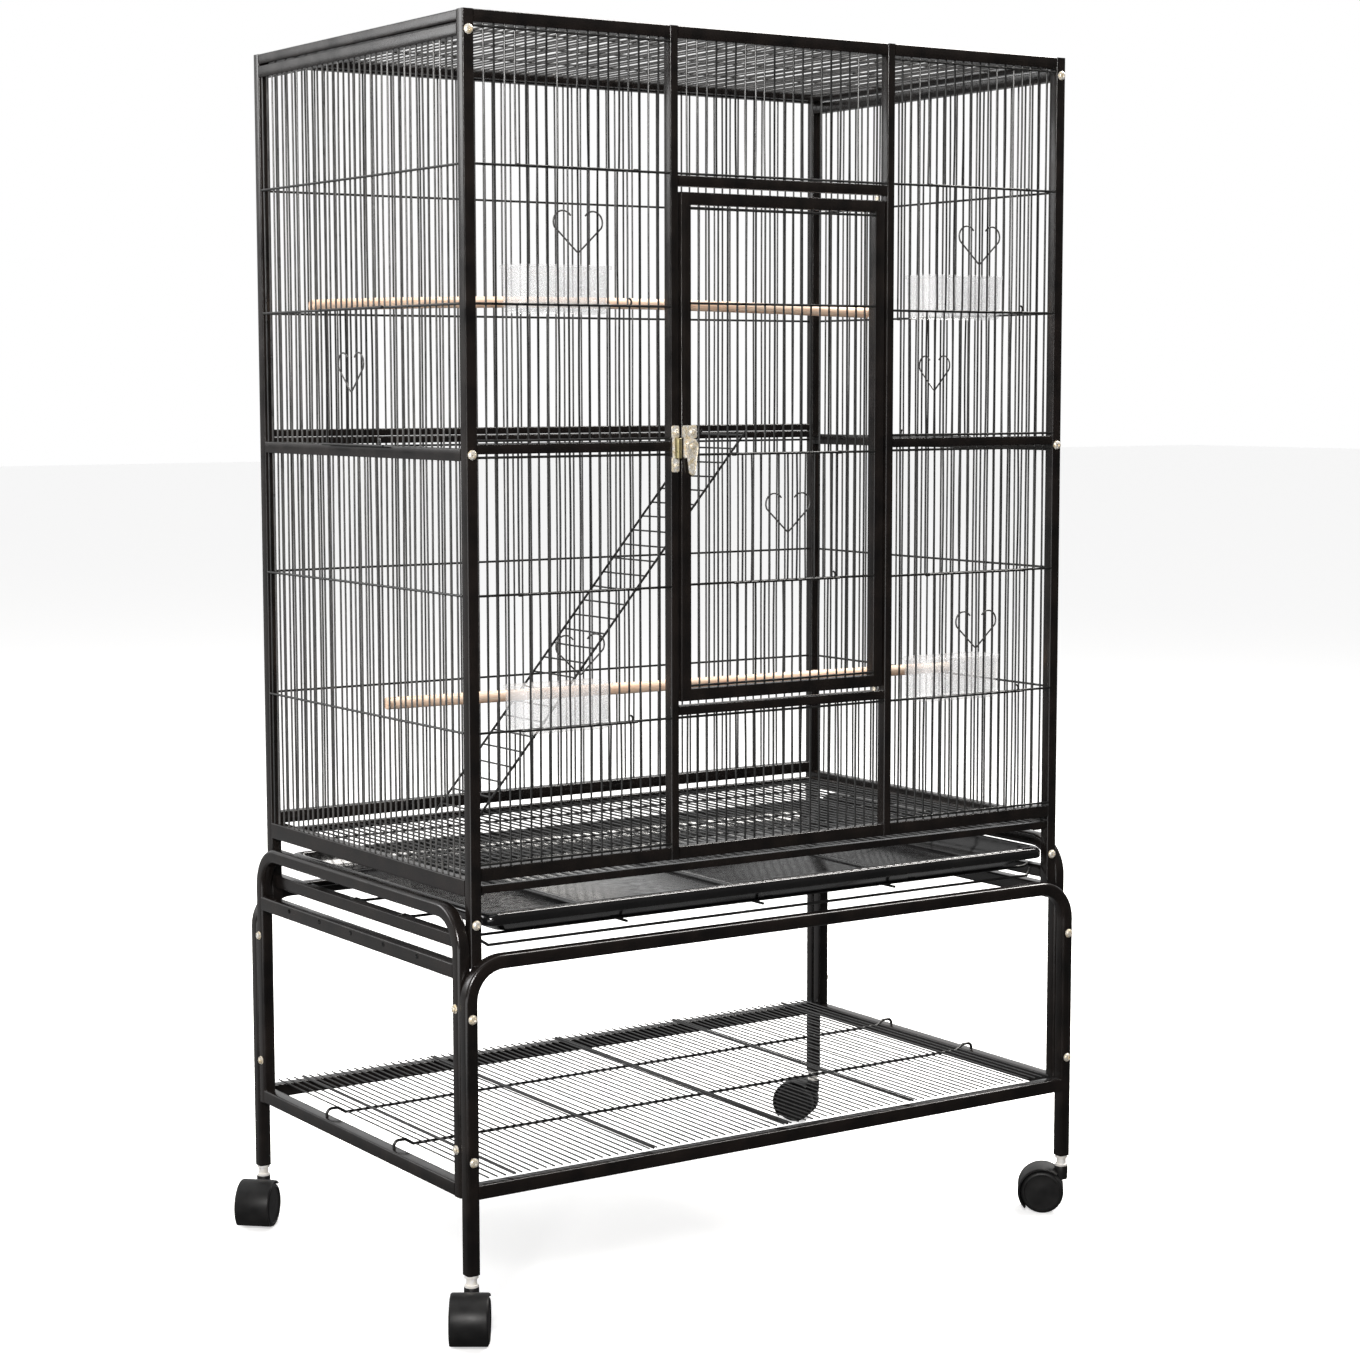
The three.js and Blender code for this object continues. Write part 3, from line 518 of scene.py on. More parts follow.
def run_tree(tree, points, values):
    """A plain mesh of what the tree makes from these points."""
    mesh = bpy.data.meshes.new("points")
    mesh.from_pydata([tuple(p) for p in points], [], [])
    obj = new_object("points", mesh)
    modifier = obj.modifiers.new("rank", "NODES")
    modifier.node_group = tree
    sockets = {s.name: s.identifier for s in tree.interface.items_tree if s.in_out == "INPUT"}
    for label, value in values.items():
        modifier[sockets[label]] = value
    return evaluated_mesh(obj)


def wires(starts, run, diameter=UPRIGHT, bow=BOW, sides=8, coat=WIRE_COAT):
    values = {"Run": tuple(run), "Diameter": diameter, "Bow": bow, "Sides": sides,
              "Seed": next(seeds), "Coat": coat}
    return run_tree(WIRE_RANK, starts, values), coat


def spread(low, high, pitch):
    spaces = max(2, round((high - low) / pitch))
    return [low + (high - low) * (i + 1) / spaces for i in range(spaces - 1)]


# ---- Grille panels: y = 0 is the panel's outside face ----

SUNK = 0.0003              # how deep welded wires sink into each other
CROSS_Y = CROSS / 2
UPRIGHT_Y = CROSS + UPRIGHT / 2 - SUNK
GATE_HALF = (upper_gate[1].x - upper_gate[0].x) / 2
GATE_OPENING = GATE_HALF - 0.004


def upright_wires(field_x, field_z, openings=(), coat=WIRE_COAT):
    """Uprights of one field, in a rank for each height that they run."""
    ranks = {}
    for x in spread(*field_x, PITCH):
        hole = next((o for o in openings if abs(x - o[0]) < GATE_OPENING
                     and o[1] > field_z[0] - 0.001 and o[2] < field_z[1] + 0.001), None)
        runs = [field_z] if hole is None else [(field_z[0], hole[1]), (hole[2], field_z[1])]
        for low, high in runs:
            if high - low > UPRIGHT:
                start = low - (BITE if low == field_z[0] else 0)
                end = high + (BITE if high == field_z[1] else 0)
                ranks.setdefault((start, end), []).append(Vector((x, UPRIGHT_Y, start)))
    return [wires(starts, (0, 0, end - start), coat=coat) for (start, end), starts in ranks.items()]


def cross_wires(field_x, levels):
    starts = [Vector((field_x[0] - BITE, CROSS_Y, z)) for z in levels]
    return wires(starts, (field_x[1] - field_x[0] + 2 * BITE, 0, 0), CROSS, 0.0004)


def edge_levels(*fields):
    """Levels of the end wires just inside the top and bottom of each field."""
    return [z for low, high in fields for z in (low + EDGE_WIRE, high - EDGE_WIRE)]


def panel_bars(bars):
    """Square tubes of a panel, each as (x range, z range)."""
    def build(bm):
        for (x0, x1), (z0, z1) in bars:
            bar(bm, (x0, 0, z0), (x1, POST, z1))
    return shape(build), COAT


def hand_hole(gate):
    """The opening behind a gate, as (middle, foot, top)."""
    low, high = gate
    return (low.x + high.x) / 2, low.z + CROSS / 2, high.z - CROSS / 2


def welded(name, nodes, shells, place=Matrix.Identity(4), body="frame"):
    put(f"{name}_welded", body, shells, nodes, place)


def front_section(side, name):
    """A fixed part of the front, beside the door, with two hand holes."""
    field = (-POST_INNER, -DOOR_POST_FAR) if side < 0 else (DOOR_POST_FAR, POST_INNER)
    post = (-HALF_WIDTH, -POST_INNER) if side < 0 else (POST_INNER, HALF_WIDTH)
    door_post = (-DOOR_POST_FAR, -DOOR_POST) if side < 0 else (DOOR_POST, DOOR_POST_FAR)
    stem = name.replace("_section", "")
    openings = [hand_hole(local_box(FRONT, f"gate_{stem}_{level}")) for level in ("upper", "lower")]
    upper, lower = (MID[1], TOP_BAR[0]), (FRONT_FOOT_BAR[1], MID[0])
    welded(name, [name], [
        panel_bars([
            (post, (POST_FOOT, TOP)), (door_post, (FRONT_FOOT_BAR[0], TOP)),
            (field, TOP_BAR), (field, MID), (field, FRONT_FOOT_BAR)]),
        cross_wires(field, WIRE_LEVELS + edge_levels(upper, lower)),
        *upright_wires(field, upper, openings), *upright_wires(field, lower, openings)], FRONT)


def front_middle(name, upper_bar, lower_bar, level):
    """The part of the front over or under the door: wires between two bars."""
    span = (-DOOR_POST + GAP, DOOR_POST - GAP)
    welded(name, [f"{name}_section"], [
        panel_bars([(span, upper_bar), (span, lower_bar)]),
        *upright_wires(span, (lower_bar[1], upper_bar[0])),
        wires([Vector((span[0], CROSS_Y, level))], (span[1] - span[0], 0, 0), CROSS, 0.0002)], FRONT)


def back_panel():
    field = (-POST_INNER, POST_INNER)
    seam = (BACK_MID[0] + BACK_MID[1]) / 2
    upper, lower = (BACK_MID[1], TOP_BAR[0]), (FRONT_FOOT_BAR[1], BACK_MID[0])
    welded("back_panel", ["back_panel"], [
        panel_bars([
            ((-HALF_WIDTH, -POST_INNER), (POST_FOOT, TOP)), ((POST_INNER, HALF_WIDTH), (POST_FOOT, TOP)),
            (field, TOP_BAR), (field, (BACK_MID[0], seam - GAP)), (field, (seam + GAP, BACK_MID[1])),
            (field, FRONT_FOOT_BAR)]),
        cross_wires(field, [*WIRE_LEVELS, BACK_MID[0] - EDGE_WIRE]),
        *upright_wires(field, upper, coat=PAINTED_LIGHTER_WIRE_COAT), *upright_wires(field, lower, coat=PAINTED_LIGHTER_WIRE_COAT)], BACK)


def side_panel(place, name, gate):
    low, high = local_box(place, name)
    half = HALF_DEPTH - POST - GAP
    top = (high.z - POST, high.z)
    mid = (SIDE_MID_BAR - POST / 2, SIDE_MID_BAR + POST / 2)
    foot = (low.z, low.z + SIDE_BAR)
    field = (-half + BITE, half - BITE)
    opening = (0, *hand_hole(gate)[1:])
    span = (-half, half)
    edge = [Vector((s * (half - UPRIGHT), UPRIGHT_Y, foot[1] - BITE)) for s in (-1, 1)]
    welded(name, [name], [
        panel_bars([(span, top), (span, mid), (span, foot)]),
        wires([Vector((-half, CROSS_Y, z)) for z in WIRE_LEVELS], (2 * half, 0, 0), CROSS, 0.0004),
        wires(edge, (0, 0, top[0] - foot[1] + 2 * BITE)),
        *upright_wires(field, (mid[1], top[0]), [opening], PAINTED_LIGHTER_WIRE_COAT),
        *upright_wires(field, (foot[1], mid[0]), coat=PAINTED_LIGHTER_WIRE_COAT)], place)


def grate_ledge(place, node):
    """The strip on a side panel's foot bar that the grate slides on."""
    low, high = local_box(place, node)
    strip = shape(lambda bm: bar(bm, low, high, 0.0006))
    put(f"{node}_strip", "frame", [(strip, COAT)], [node], place)


def ring(low, high, level):
    """Corners of a level rectangle, from its low left one round."""
    return [(low[0], low[1], level), (high[0], low[1], level), (high[0], high[1], level),
            (low[0], high[1], level)]


def roof_panel():
    half_x, half_y = HALF_WIDTH - GAP, HALF_DEPTH - POST - GAP
    rim_height = 0.0112                  # the rim stands off the side panels by a thin shadow
    inset = POST / 2
    rim = ring((-half_x + inset, -half_y + inset), (half_x - inset, half_y - inset), TOP - rim_height / 2)
    section = rounded_section(POST, rim_height, 0.0016)
    inner_x, inner_y = half_x - POST, half_y - POST
    wire_z = TOP - CROSS - UPRIGHT / 2 - 0.0006
    over = wire_z + (UPRIGHT + CROSS) / 2 - 0.0004
    starts = [Vector((x, -inner_y - BITE, wire_z)) for x in spread(-inner_x, inner_x, PITCH)]
    across = [Vector((-inner_x - BITE, y, over)) for y in (-inner_y / 2, 0, inner_y / 2)]
    welded("roof_panel", ["roof_panel"], [
        (shape(lambda bm: sweep(bm, section, rim, Z, closed=True)), COAT),
        wires(starts, (0, 2 * (inner_y + BITE), 0), coat=PAINTED_LIGHTER_WIRE_COAT),
        wires(across, (2 * (inner_x + BITE), 0, 0), CROSS, 0.0006)], CENTRE)


# ---- Main door ----

def main_door():
    low, high = local_box(FRONT, "main_door")
    _, hole_foot, hole_top = hand_hole(local_box(FRONT, "gate_main_door"))
    inset = POST / 2
    rim = [(low.x + inset, inset, low.z + inset), (high.x - inset, inset, low.z + inset),
           (high.x - inset, inset, high.z - inset), (low.x + inset, inset, high.z - inset)]
    field_x, field_z = (low.x + POST, high.x - POST), (low.z + POST, high.z - POST)
    levels = [hole_foot, hole_top, WIRE_LEVELS[2] + 0.004, *edge_levels(field_z)]
    welded("main_door", ["main_door"], [
        (shape(lambda bm: sweep(bm, TUBE, list(reversed(rim)), Y, closed=True)), COAT),
        cross_wires(field_x, levels),
        *upright_wires(field_x, field_z, [(0, hole_foot, hole_top)])], FRONT, "main_door")


# ---- Sliding feeder gates ----

HEART_HALF, HEART_HEIGHT, HEART_LOBE, HEART_TIP = 0.0290, 0.041, 0.0112, 0.003
HEART_WIRE = 0.0018
GATE_WIRE = 0.0021
KNOB_HALF, KNOB_PROUD = 0.0022, 0.0012       # where the top rod is turned back on itself


def heart_path(centre):
    """An open heart of bent wire: from the inner end of one lobe, down to the tip and up again."""
    lobe_x, lobe_z = HEART_HALF - HEART_LOBE, HEART_HEIGHT / 2 - HEART_LOBE
    left = arc((-lobe_x, 0, lobe_z), HEART_LOBE, 35, 208, 12)
    tip = arc((0, 0, -HEART_HEIGHT / 2 + HEART_TIP), HEART_TIP, 218, 322, 4)
    right = [Vector((-p.x, p.y, p.z)) for p in reversed(left)]
    return [Vector(centre) + p for p in left + tip + right]


def gate(node, place):
    low, high = local_box(place, node)
    layer = (low.y + high.y) / 2
    foot, top = low.z + CROSS / 2, high.z - CROSS / 2
    ends = (low.x + CROSS / 2, high.x - CROSS / 2)

    def build(bm):
        for z in (foot, top):
            sweep(bm, round_section(CROSS), [(x, layer, z) for x in ends], Z)
        for x in ends:
            knob = [(x - KNOB_HALF, layer, top), (x + KNOB_HALF, layer, top)]
            sweep(bm, round_section(CROSS + KNOB_PROUD, 8), knob, Z)
        hook = arc((ends[1] - 0.010, layer, low.z + 0.0048), 0.0042, -90, 70, 6)
        sweep(bm, round_section(GATE_WIRE, 8), hook, Y)

    heart = heart_path(((low.x + high.x) / 2, layer - SUNK, (low.z + high.z) / 2 + 0.005))
    starts = [Vector((x, layer, low.z + 0.0005)) for x in spread(low.x, high.x, PITCH)]
    put(f"{node}_bent", node, [
        (shape(build), WIRE_COAT),
        (shape(lambda bm: sweep(bm, round_section(HEART_WIRE), heart, Y)), PAINTED_LIGHTER_WIRE_COAT),
        wires(starts, (0, 0, high.z - low.z - 0.001), GATE_WIRE, 0.0006)], [node], place)


# ---- Feeder cups ----

def rounded_ring(bm, half_x, half_y, radius, z, centre, steps=5):
    points = rounded_section(2 * half_x, 2 * half_y, radius, steps)
    return [bm.verts.new((centre[0] + p.x, centre[1] + p.y, z)) for p in points]


def cup(node):
    """A tapered cup with a rolled lip, as rings of (inset, level, corner radius), and its two hooks."""
    low, high = local_box(FRONT, node)
    shell_front = POST + 0.0016
    centre = ((low.x + high.x) / 2, (shell_front + high.y) / 2)
    half_x, half_y = (high.x - low.x) / 2, (high.y - shell_front) / 2
    wall, draft, lip = 0.0018, 0.0035, 0.0022
    rod_level = low.z + 0.008             # the cross wire that the hooks sit on
    rings = [
        (draft + 0.0028, low.z, 0.008), (draft, low.z + 0.002, 0.009), (draft - 0.0004, low.z + 0.005, 0.009),
        (lip, high.z - 0.005, 0.009), (lip, high.z - 0.0042, 0.009), (0, high.z - 0.0036, 0.010),
        (0, high.z - 0.0006, 0.010), (0.0006, high.z, 0.010), (lip + wall - 0.0004, high.z, 0.008),
        (lip + wall, high.z - 0.001, 0.008), (draft + wall, low.z + 0.005, 0.008),
        (draft + wall + 0.003, low.z + wall + 0.0004, 0.008)]

    def build(bm):
        skin(bm, [rounded_ring(bm, half_x - d, half_y - d, r, z, centre) for d, z, r in rings], False)
        for side in (-1, 1):
            x = centre[0] + side * half_x * 0.64
            hook = [(shell_front + 0.003, rod_level + 0.0016), (low.y + 0.0016, rod_level + 0.0016),
                    (low.y + 0.0008, rod_level + 0.0010), (low.y + 0.0008, rod_level - 0.0026)]
            sweep(bm, rounded_section(0.0014, 0.009, 0.0005, 2), [(x, y, z) for y, z in hook], X)

    put(f"{node}_moulded", node, [(shape(build), CLEAR)], [node], FRONT, sharp=50)


# ---- Perches and ladder ----

def perch(node, bow, lift):
    """A dowel, warped by its bow at the middle and lifted at its left end."""
    low, high = corners(node)
    radius = (high.z - low.z) / 2
    centre_y, centre_z = (low.y + high.y) / 2, (low.z + high.z) / 2
    turn = Matrix.Translation((low.x, centre_y, centre_z)) @ Matrix.Rotation(math.radians(90), 4, "Y")
    length = high.x - low.x
    cut = 0.0012
    belts = [(radius - 0.00012 * (i % 3), cut + (length - 2 * cut) * i / 24) for i in range(1, 24)]
    profile = [(0, 0), (radius - cut, 0), (radius, cut), *belts,
               (radius, length - cut), (radius - cut, length), (0, length)]

    def build(bm):
        spin_profile(bm, profile, turn, 28)
        tidy(bm)
        for vert in bm.verts:
            t = (vert.co.x - low.x) / length
            vert.co.z += bow * math.sin(math.pi * t ** 0.85) + lift * (1 - t)

    put(f"{node}_dowel", "frame", [(shape(build), WOOD)], [node], sharp=40)


def ladder():
    low, high = corners("ladder")
    rail, rung, pitch, first = 0.0028, 0.0021, 0.0218, 0.006
    foot = Vector((low.x + rail * 0.45, 0, low.z + rail * 0.45))
    top = Vector((high.x - rail * 0.45, 0, high.z - rail * 0.45))
    run = top - foot
    along = run.normalized()
    rails_y = (low.y + rail / 2, high.y - rail / 2)

    def build(bm):
        for y in rails_y:
            sweep(bm, round_section(rail), [foot + Y * y, top + Y * y], Y)

    count = int((run.length - 2 * first) / pitch)
    over = along.cross(Y) * -(rail / 2 - 0.0002)
    starts = [top - along * (first + i * pitch) + Y * rails_y[0] + over for i in range(count + 1)]
    rungs = wires(starts, (0, rails_y[1] - rails_y[0], 0), rung, 0.0004)
    welded("ladder", ["ladder"], [(shape(build), WIRE_COAT), rungs], body="ladder")


# ---- Grate, tray and tray rack ----

def floor_grate():
    low, high = corners("floor_grate")
    rim = 0.008
    x0, x1, y0, y1 = low.x + rim / 2, high.x - rim / 2, low.y + rim / 2, high.y - rim / 2
    path = ring((x0, y0), (x1, y1), (low.z + high.z) / 2)
    section = rounded_section(rim, rim, 0.0012)
    wire_z = high.z - UPRIGHT / 2 - 0.0006
    cross_z = wire_z - (UPRIGHT + CROSS) / 2 + SUNK
    welded("floor_grate", ["floor_grate"], [
        (shape(lambda bm: sweep(bm, section, path, Z, closed=True)), COAT),
        wires([Vector((x, y0, wire_z)) for x in spread(x0, x1, PITCH)], (0, y1 - y0, 0)),
        wires([Vector((x0, y, cross_z)) for y in spread(y0, y1, 0.075)], (x1 - x0, 0, 0), CROSS, 0.0004)],
        body="floor_grate")


def tray():
    """Rings of (inset from the outside, level, corner radius): from the underside up round a deep
    rolled lip, over its top and down the inside. Three ribs stiffen the floor."""
    low, high = corners("tray")
    centre = ((low.x + high.x) / 2, (low.y + high.y) / 2)
    half_x, half_y = (high.x - low.x) / 2, (high.y - low.y) / 2
    wall, lip = 0.0018, 0.0068
    outside = [
        (0.034, low.z, 0.010), (0.0305, low.z + 0.0012, 0.011), (0.0115, high.z - 0.0125, 0.014),
        (0.0105, high.z - 0.0132, 0.014), (0.0026, high.z - 0.0132, 0.010),
        (0.0010, high.z - 0.0126, 0.011), (0.0002, high.z - 0.0112, 0.012)]
    turns = [math.radians(15 * i) for i in range(7)]
    roll = [(lip * (1 - math.cos(a)), high.z - lip * (1 - math.sin(a)), 0.012) for a in turns]
    inside = [
        (lip + 0.0022, high.z - 0.0004, 0.009), (lip + 0.0034, high.z - 0.0020, 0.009),
        (0.0135, high.z - 0.0110, 0.012), (0.0320, low.z + 0.0032, 0.009), (0.0360, low.z + wall, 0.008)]
    rings = outside + roll + inside
    floor_top = low.z + wall
    rib_half, rib_end, rib_spacing = 0.006, 0.03, 0.20

    def ribs(bm):
        for x in (-rib_spacing, 0.0, rib_spacing):
            bar(bm, (centre[0] + x - rib_half, low.y + rib_end, floor_top - 0.001),
                (centre[0] + x + rib_half, high.y - rib_end, floor_top + 0.0022), 0.0014)

    basin = shape(lambda bm: skin(
        bm, [rounded_ring(bm, half_x - d, half_y - d, r, z, centre, 7) for d, z, r in rings], False))
    put("tray_formed", "tray", [(basin, TRAY), (shape(ribs), TRAY)], ["tray"], sharp=60)


RACK_WIRE, RACK_RAIL, RACK_DROP = 0.0032, 0.014, 0.0075
RACK_RUNS = (0.022, 0.15, 0.262, 0.374)      # its wires across, behind its front
RACK_RUNNERS = (-0.187, -0.010, 0.172)       # its wires along, off its middle


def tray_rack():
    low, high = corners("tray_rack")
    wire_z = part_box("tray")[0].z - GAP - RACK_WIRE / 2
    left, right = low.x + POST / 2, high.x - POST / 2
    inner = [low.y + y for y in RACK_RUNS]

    def rails(bm):
        for x0, x1 in ((low.x, low.x + POST - GAP), (high.x - POST + GAP, high.x)):
            bar(bm, (x0, low.y, high.z - RACK_RAIL), (x1, high.y, high.z))

    def hooked(bm):
        """Wires across, cranked down at each end and welded on top of the rails."""
        for y in inner:
            path = []
            for end, s in ((left, 1), (right, -1)):
                crank = [(-0.002, high.z - RACK_WIRE * 0.35), (0.005, high.z - 0.0004),
                         (0.011, wire_z + 0.0005), (0.017, wire_z)]
                path += [Vector((end + s * x, y, z)) for x, z in crank[::s]]
            sweep(bm, round_section(RACK_WIRE), path, Y)
        ends = [(POST, low.y + 0.010, wire_z), (POST + 0.010, low.y + 0.004, wire_z - RACK_DROP)]
        front = [Vector((left + x, y, z)) for x, y, z in ends]
        front += [Vector((right - x, y, z)) for x, y, z in reversed(ends)]
        sweep(bm, round_section(RACK_WIRE), front, Y)

    start_y, runner_z = inner[0] - 0.01, wire_z - RACK_WIRE + 0.0004
    runners = [Vector((middle.x + x, start_y, runner_z)) for x in RACK_RUNNERS]
    welded("tray_rack", ["tray_rack"], [
        (shape(rails), COAT), (shape(hooked), WIRE_COAT),
        wires(runners, (0, high.y - inner[0] + 0.01, 0), RACK_WIRE, 0.0005)])


# ---- Stand ----

DRILLED_BAR = (0.370, 0.386)
HOLE_SPACING, HOLE_DROP = 0.075, 0.0055      # holes along the drilled bar, below its top, each shown by a flat dark disc of painted shade
# profile of a flat dark disc, painted shade for the inside of a hole
HOLE_SHADE_DISC = [(0, 0), (0.0026, 0), (0.0027, 0.0005), (0.0022, 0.0005), (0.0020, 0.0001), (0, 0.0001)]


def bent_path(half, top, foot, depth):
    """The middle line of an upside-down U of tube."""
    r = STAND_BEND - STAND / 2
    x, z = half - STAND / 2, top - STAND / 2
    left = arc((-x + r, depth, z - r), r, 180, 90, 12)
    right = arc((x - r, depth, z - r), r, 90, 0, 12)
    return [Vector((-x, depth, foot)), *left, *right, Vector((x, depth, foot))]


def stand_frame(node, place, levels, trim=()):
    """A bent tube with straight bars between its legs."""
    low, high = local_box(place, node)
    half = (high.x - low.x) / 2
    inner = half - STAND + BITE

    def build(bm):
        sweep(bm, STAND_TUBE, bent_path(half, high.z, low.z, (low.y + high.y) / 2), Y)
        for foot, top in levels:
            bar(bm, (-inner, low.y, foot), (inner, high.y, top), 0.0020)

    put(f"{node}_bent", "frame", [(shape(build), COAT), *trim], [node], place)


def stand_side(node, place):
    low, _ = local_box(place, node)

    def hole_shade_discs(bm):
        """Flat dark discs on the holes of the drilled bar: painted shade for the dark inside of each hole."""
        for i in range(-2, 3):
            at = Matrix.Translation((i * HOLE_SPACING, low.y + 0.0001, DRILLED_BAR[1] - HOLE_DROP))
            spin_profile(bm, HOLE_SHADE_DISC, at @ Matrix.Rotation(math.pi / 2, 4, "X"), 14)
        tidy(bm)

    stand_frame(node, place, [(low.z, low.z + STAND), DRILLED_BAR], [(shape(hole_shade_discs), CASTER)])


def stand_hoop(node, place):
    shelf_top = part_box("stand_side_left")[0].z + STAND
    stand_frame(node, place, [(shelf_top - STAND, shelf_top)])


def shelf():
    low, high = corners("shelf_grid")
    thick, middling, thin = 0.0034, 0.0026, 0.0018
    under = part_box("stand_side_left")[0].z + STAND + GAP + thick / 2
    over = under + (thick + thin) / 2 - SUNK
    half_x, half_y = HALF_WIDTH - 0.008, HALF_DEPTH + STAND / 2
    starts = [Vector((x, -half_y, over)) for x in spread(-half_x - 0.004, half_x + 0.004, SHELF_PITCH)]
    reach_x = (high.x - low.x) / 2

    def cranked(bm):
        """Thick wires: two across with hooks over the side bars, and five along."""
        for y in (-0.079, 0.079):
            left = arc((-reach_x + 0.0065, y, under + 0.0002), 0.0062, 250, 90, 8)
            left += [Vector((-reach_x + 0.014, y, under + 0.0062)), Vector((-reach_x + 0.024, y, under))]
            right = [Vector((-p.x, p.y, p.z)) for p in reversed(left)]
            sweep(bm, round_section(thick), [*left, *right], Y)
        for x in (-0.345, -0.175, 0.0, 0.175, 0.345):
            sweep(bm, round_section(middling), [(x, -half_y, over), (x, half_y, over)], X)

    welded("shelf_grid", ["shelf_grid"], [
        (shape(cranked), WIRE_COAT), wires(starts, (0, 2 * half_y, 0), thin, 0.0006)], CENTRE)


# ---- Screws, bolts and nuts ----

SIDE_BOLTS = (0.340, 0.194)       # levels of the nuts on the sides of the stand


def pan_head():
    """A Phillips pan head on a thin washer, 10 mm across, its underside at z = 0."""
    radius, skirt, height = 0.0046, 0.0012, 0.0032
    turns = [math.radians(15 * i) for i in range(1, 6)]
    crown = [(radius * math.cos(a), skirt + (height - skirt) * math.sin(a)) for a in turns]
    dome = [(0, 0), (0.0050, 0), (0.0050, 0.0005), (0.0046, 0.0006), (radius, skirt), *crown, (0, height)]
    head = new_object("head_blank", lathe(dome, segments=28))
    cross = new_object("head_cross", shape(lambda bm: [
        bar(bm, (-0.0026, -0.0006, 0.0014), (0.0026, 0.0006, 0.006), 0.0002),
        bar(bm, (-0.0006, -0.0026, 0.0015), (0.0006, 0.0026, 0.0061), 0.0002)]))
    cut = head.modifiers.new("recess", "BOOLEAN")
    cut.operation, cut.solver, cut.object, cut.use_self = "DIFFERENCE", "EXACT", cross, True
    mesh = evaluated_mesh(head)
    bpy.data.objects.remove(cross)
    return mesh


def nut():
    """A hexagon nut with a stub of its bolt, on a washer, its underside at z = 0."""
    def build(bm):
        for width, sides, low, high in (
                (0.0080, 6, 0.0002, 0.0024), (0.0040, 16, 0.0010, 0.0032), (0.0096, 24, 0, 0.0004)):
            sweep(bm, round_section(width, sides), [(0, 0, low), (0, 0, high)], Y)
    return shape(build)


def heads_at(part_mesh, points, axis):
    """Copies of a head at points, each with its top towards the axis."""
    part = new_object("head_part", part_mesh)
    turn = Vector(axis).to_track_quat("Z", "Y").to_euler()
    mesh = run_tree(HEADS, points, {"Head": part, "Turn": turn, "Seed": next(seeds), "Plate": ZINC})
    bpy.data.objects.remove(part)
    return mesh, ZINC


def fasteners():
    head, hexagon = pan_head(), nut()
    for hand, sign in (("left", -1), ("right", 1)):
        names = ([f"cage_screw_{hand}_{i}" for i in (1, 2, 3)]
                 + [f"stand_bolt_{hand}_{i}" for i in (1, 2)])
        points = []
        for name in names:
            low, high = corners(name)
            points.append(Vector(((low.x + high.x) / 2, high.y, (low.z + high.z) / 2)))
        put(f"front_screws_{hand}", "frame", [heads_at(head.copy(), points, -Y)], names)
        side_x = middle.x + sign * (HALF_WIDTH + STAND + GAP)
        post_x, back_y = middle.x + sign * (HALF_WIDTH - POST / 2), middle.y + HALF_DEPTH
        leg_y = HALF_DEPTH - STAND / 2
        for name, part, places, axis in (
            ("side_nuts", hexagon,
             [Vector((side_x, middle.y + s * leg_y, z)) for s in (-1, 1) for z in SIDE_BOLTS], X * sign),
            ("back_nuts", hexagon, [Vector((p.x, back_y + STAND + GAP, p.z)) for p in points[3:]], Y),
            ("back_screws", head, [Vector((post_x, back_y, p.z)) for p in points[:3]], Y),
        ):
            put(f"{name}_{hand}", "frame", [heads_at(part.copy(), places, axis)])


# ---- Hinge pins and latch ----

def hinge_pins():
    for node in ("hinge_pin_upper", "hinge_pin_lower"):
        low, high = corners(node)
        radius, length, edge = (high.x - low.x) / 2, high.z - low.z, 0.0005
        at = Matrix.Translation(((low.x + high.x) / 2, (low.y + high.y) / 2, low.z))
        profile = [(0, 0), (radius - edge, 0), (radius, edge), (radius, length - edge),
                   (radius - edge, length), (0, length)]
        put(f"{node}_turned", "frame", [(lathe(profile, at), ZINC)], [node])


def pressed_plate(bm, low, high, edge=0.0007):
    """A thin plate with rounded corners seen from the front, facing -y."""
    centre = ((low[0] + high[0]) / 2, (low[2] + high[2]) / 2)
    section = rounded_section(high[0] - low[0], high[2] - low[2], 0.0022, 4)
    rings = []
    for y, inset in ((high[1], 0), (low[1] + edge, 0), (low[1] + edge * 0.3, edge * 0.3), (low[1], edge)):
        rings.append([bm.verts.new((
            centre[0] + p.x - math.copysign(min(abs(p.x), inset), p.x), y,
            centre[1] + p.y - math.copysign(min(abs(p.y), inset), p.y))) for p in section])
    skin(bm, rings, False)


LATCH_SHEET, LUG, LOWER_LUG = 0.0016, 0.0135, 0.016


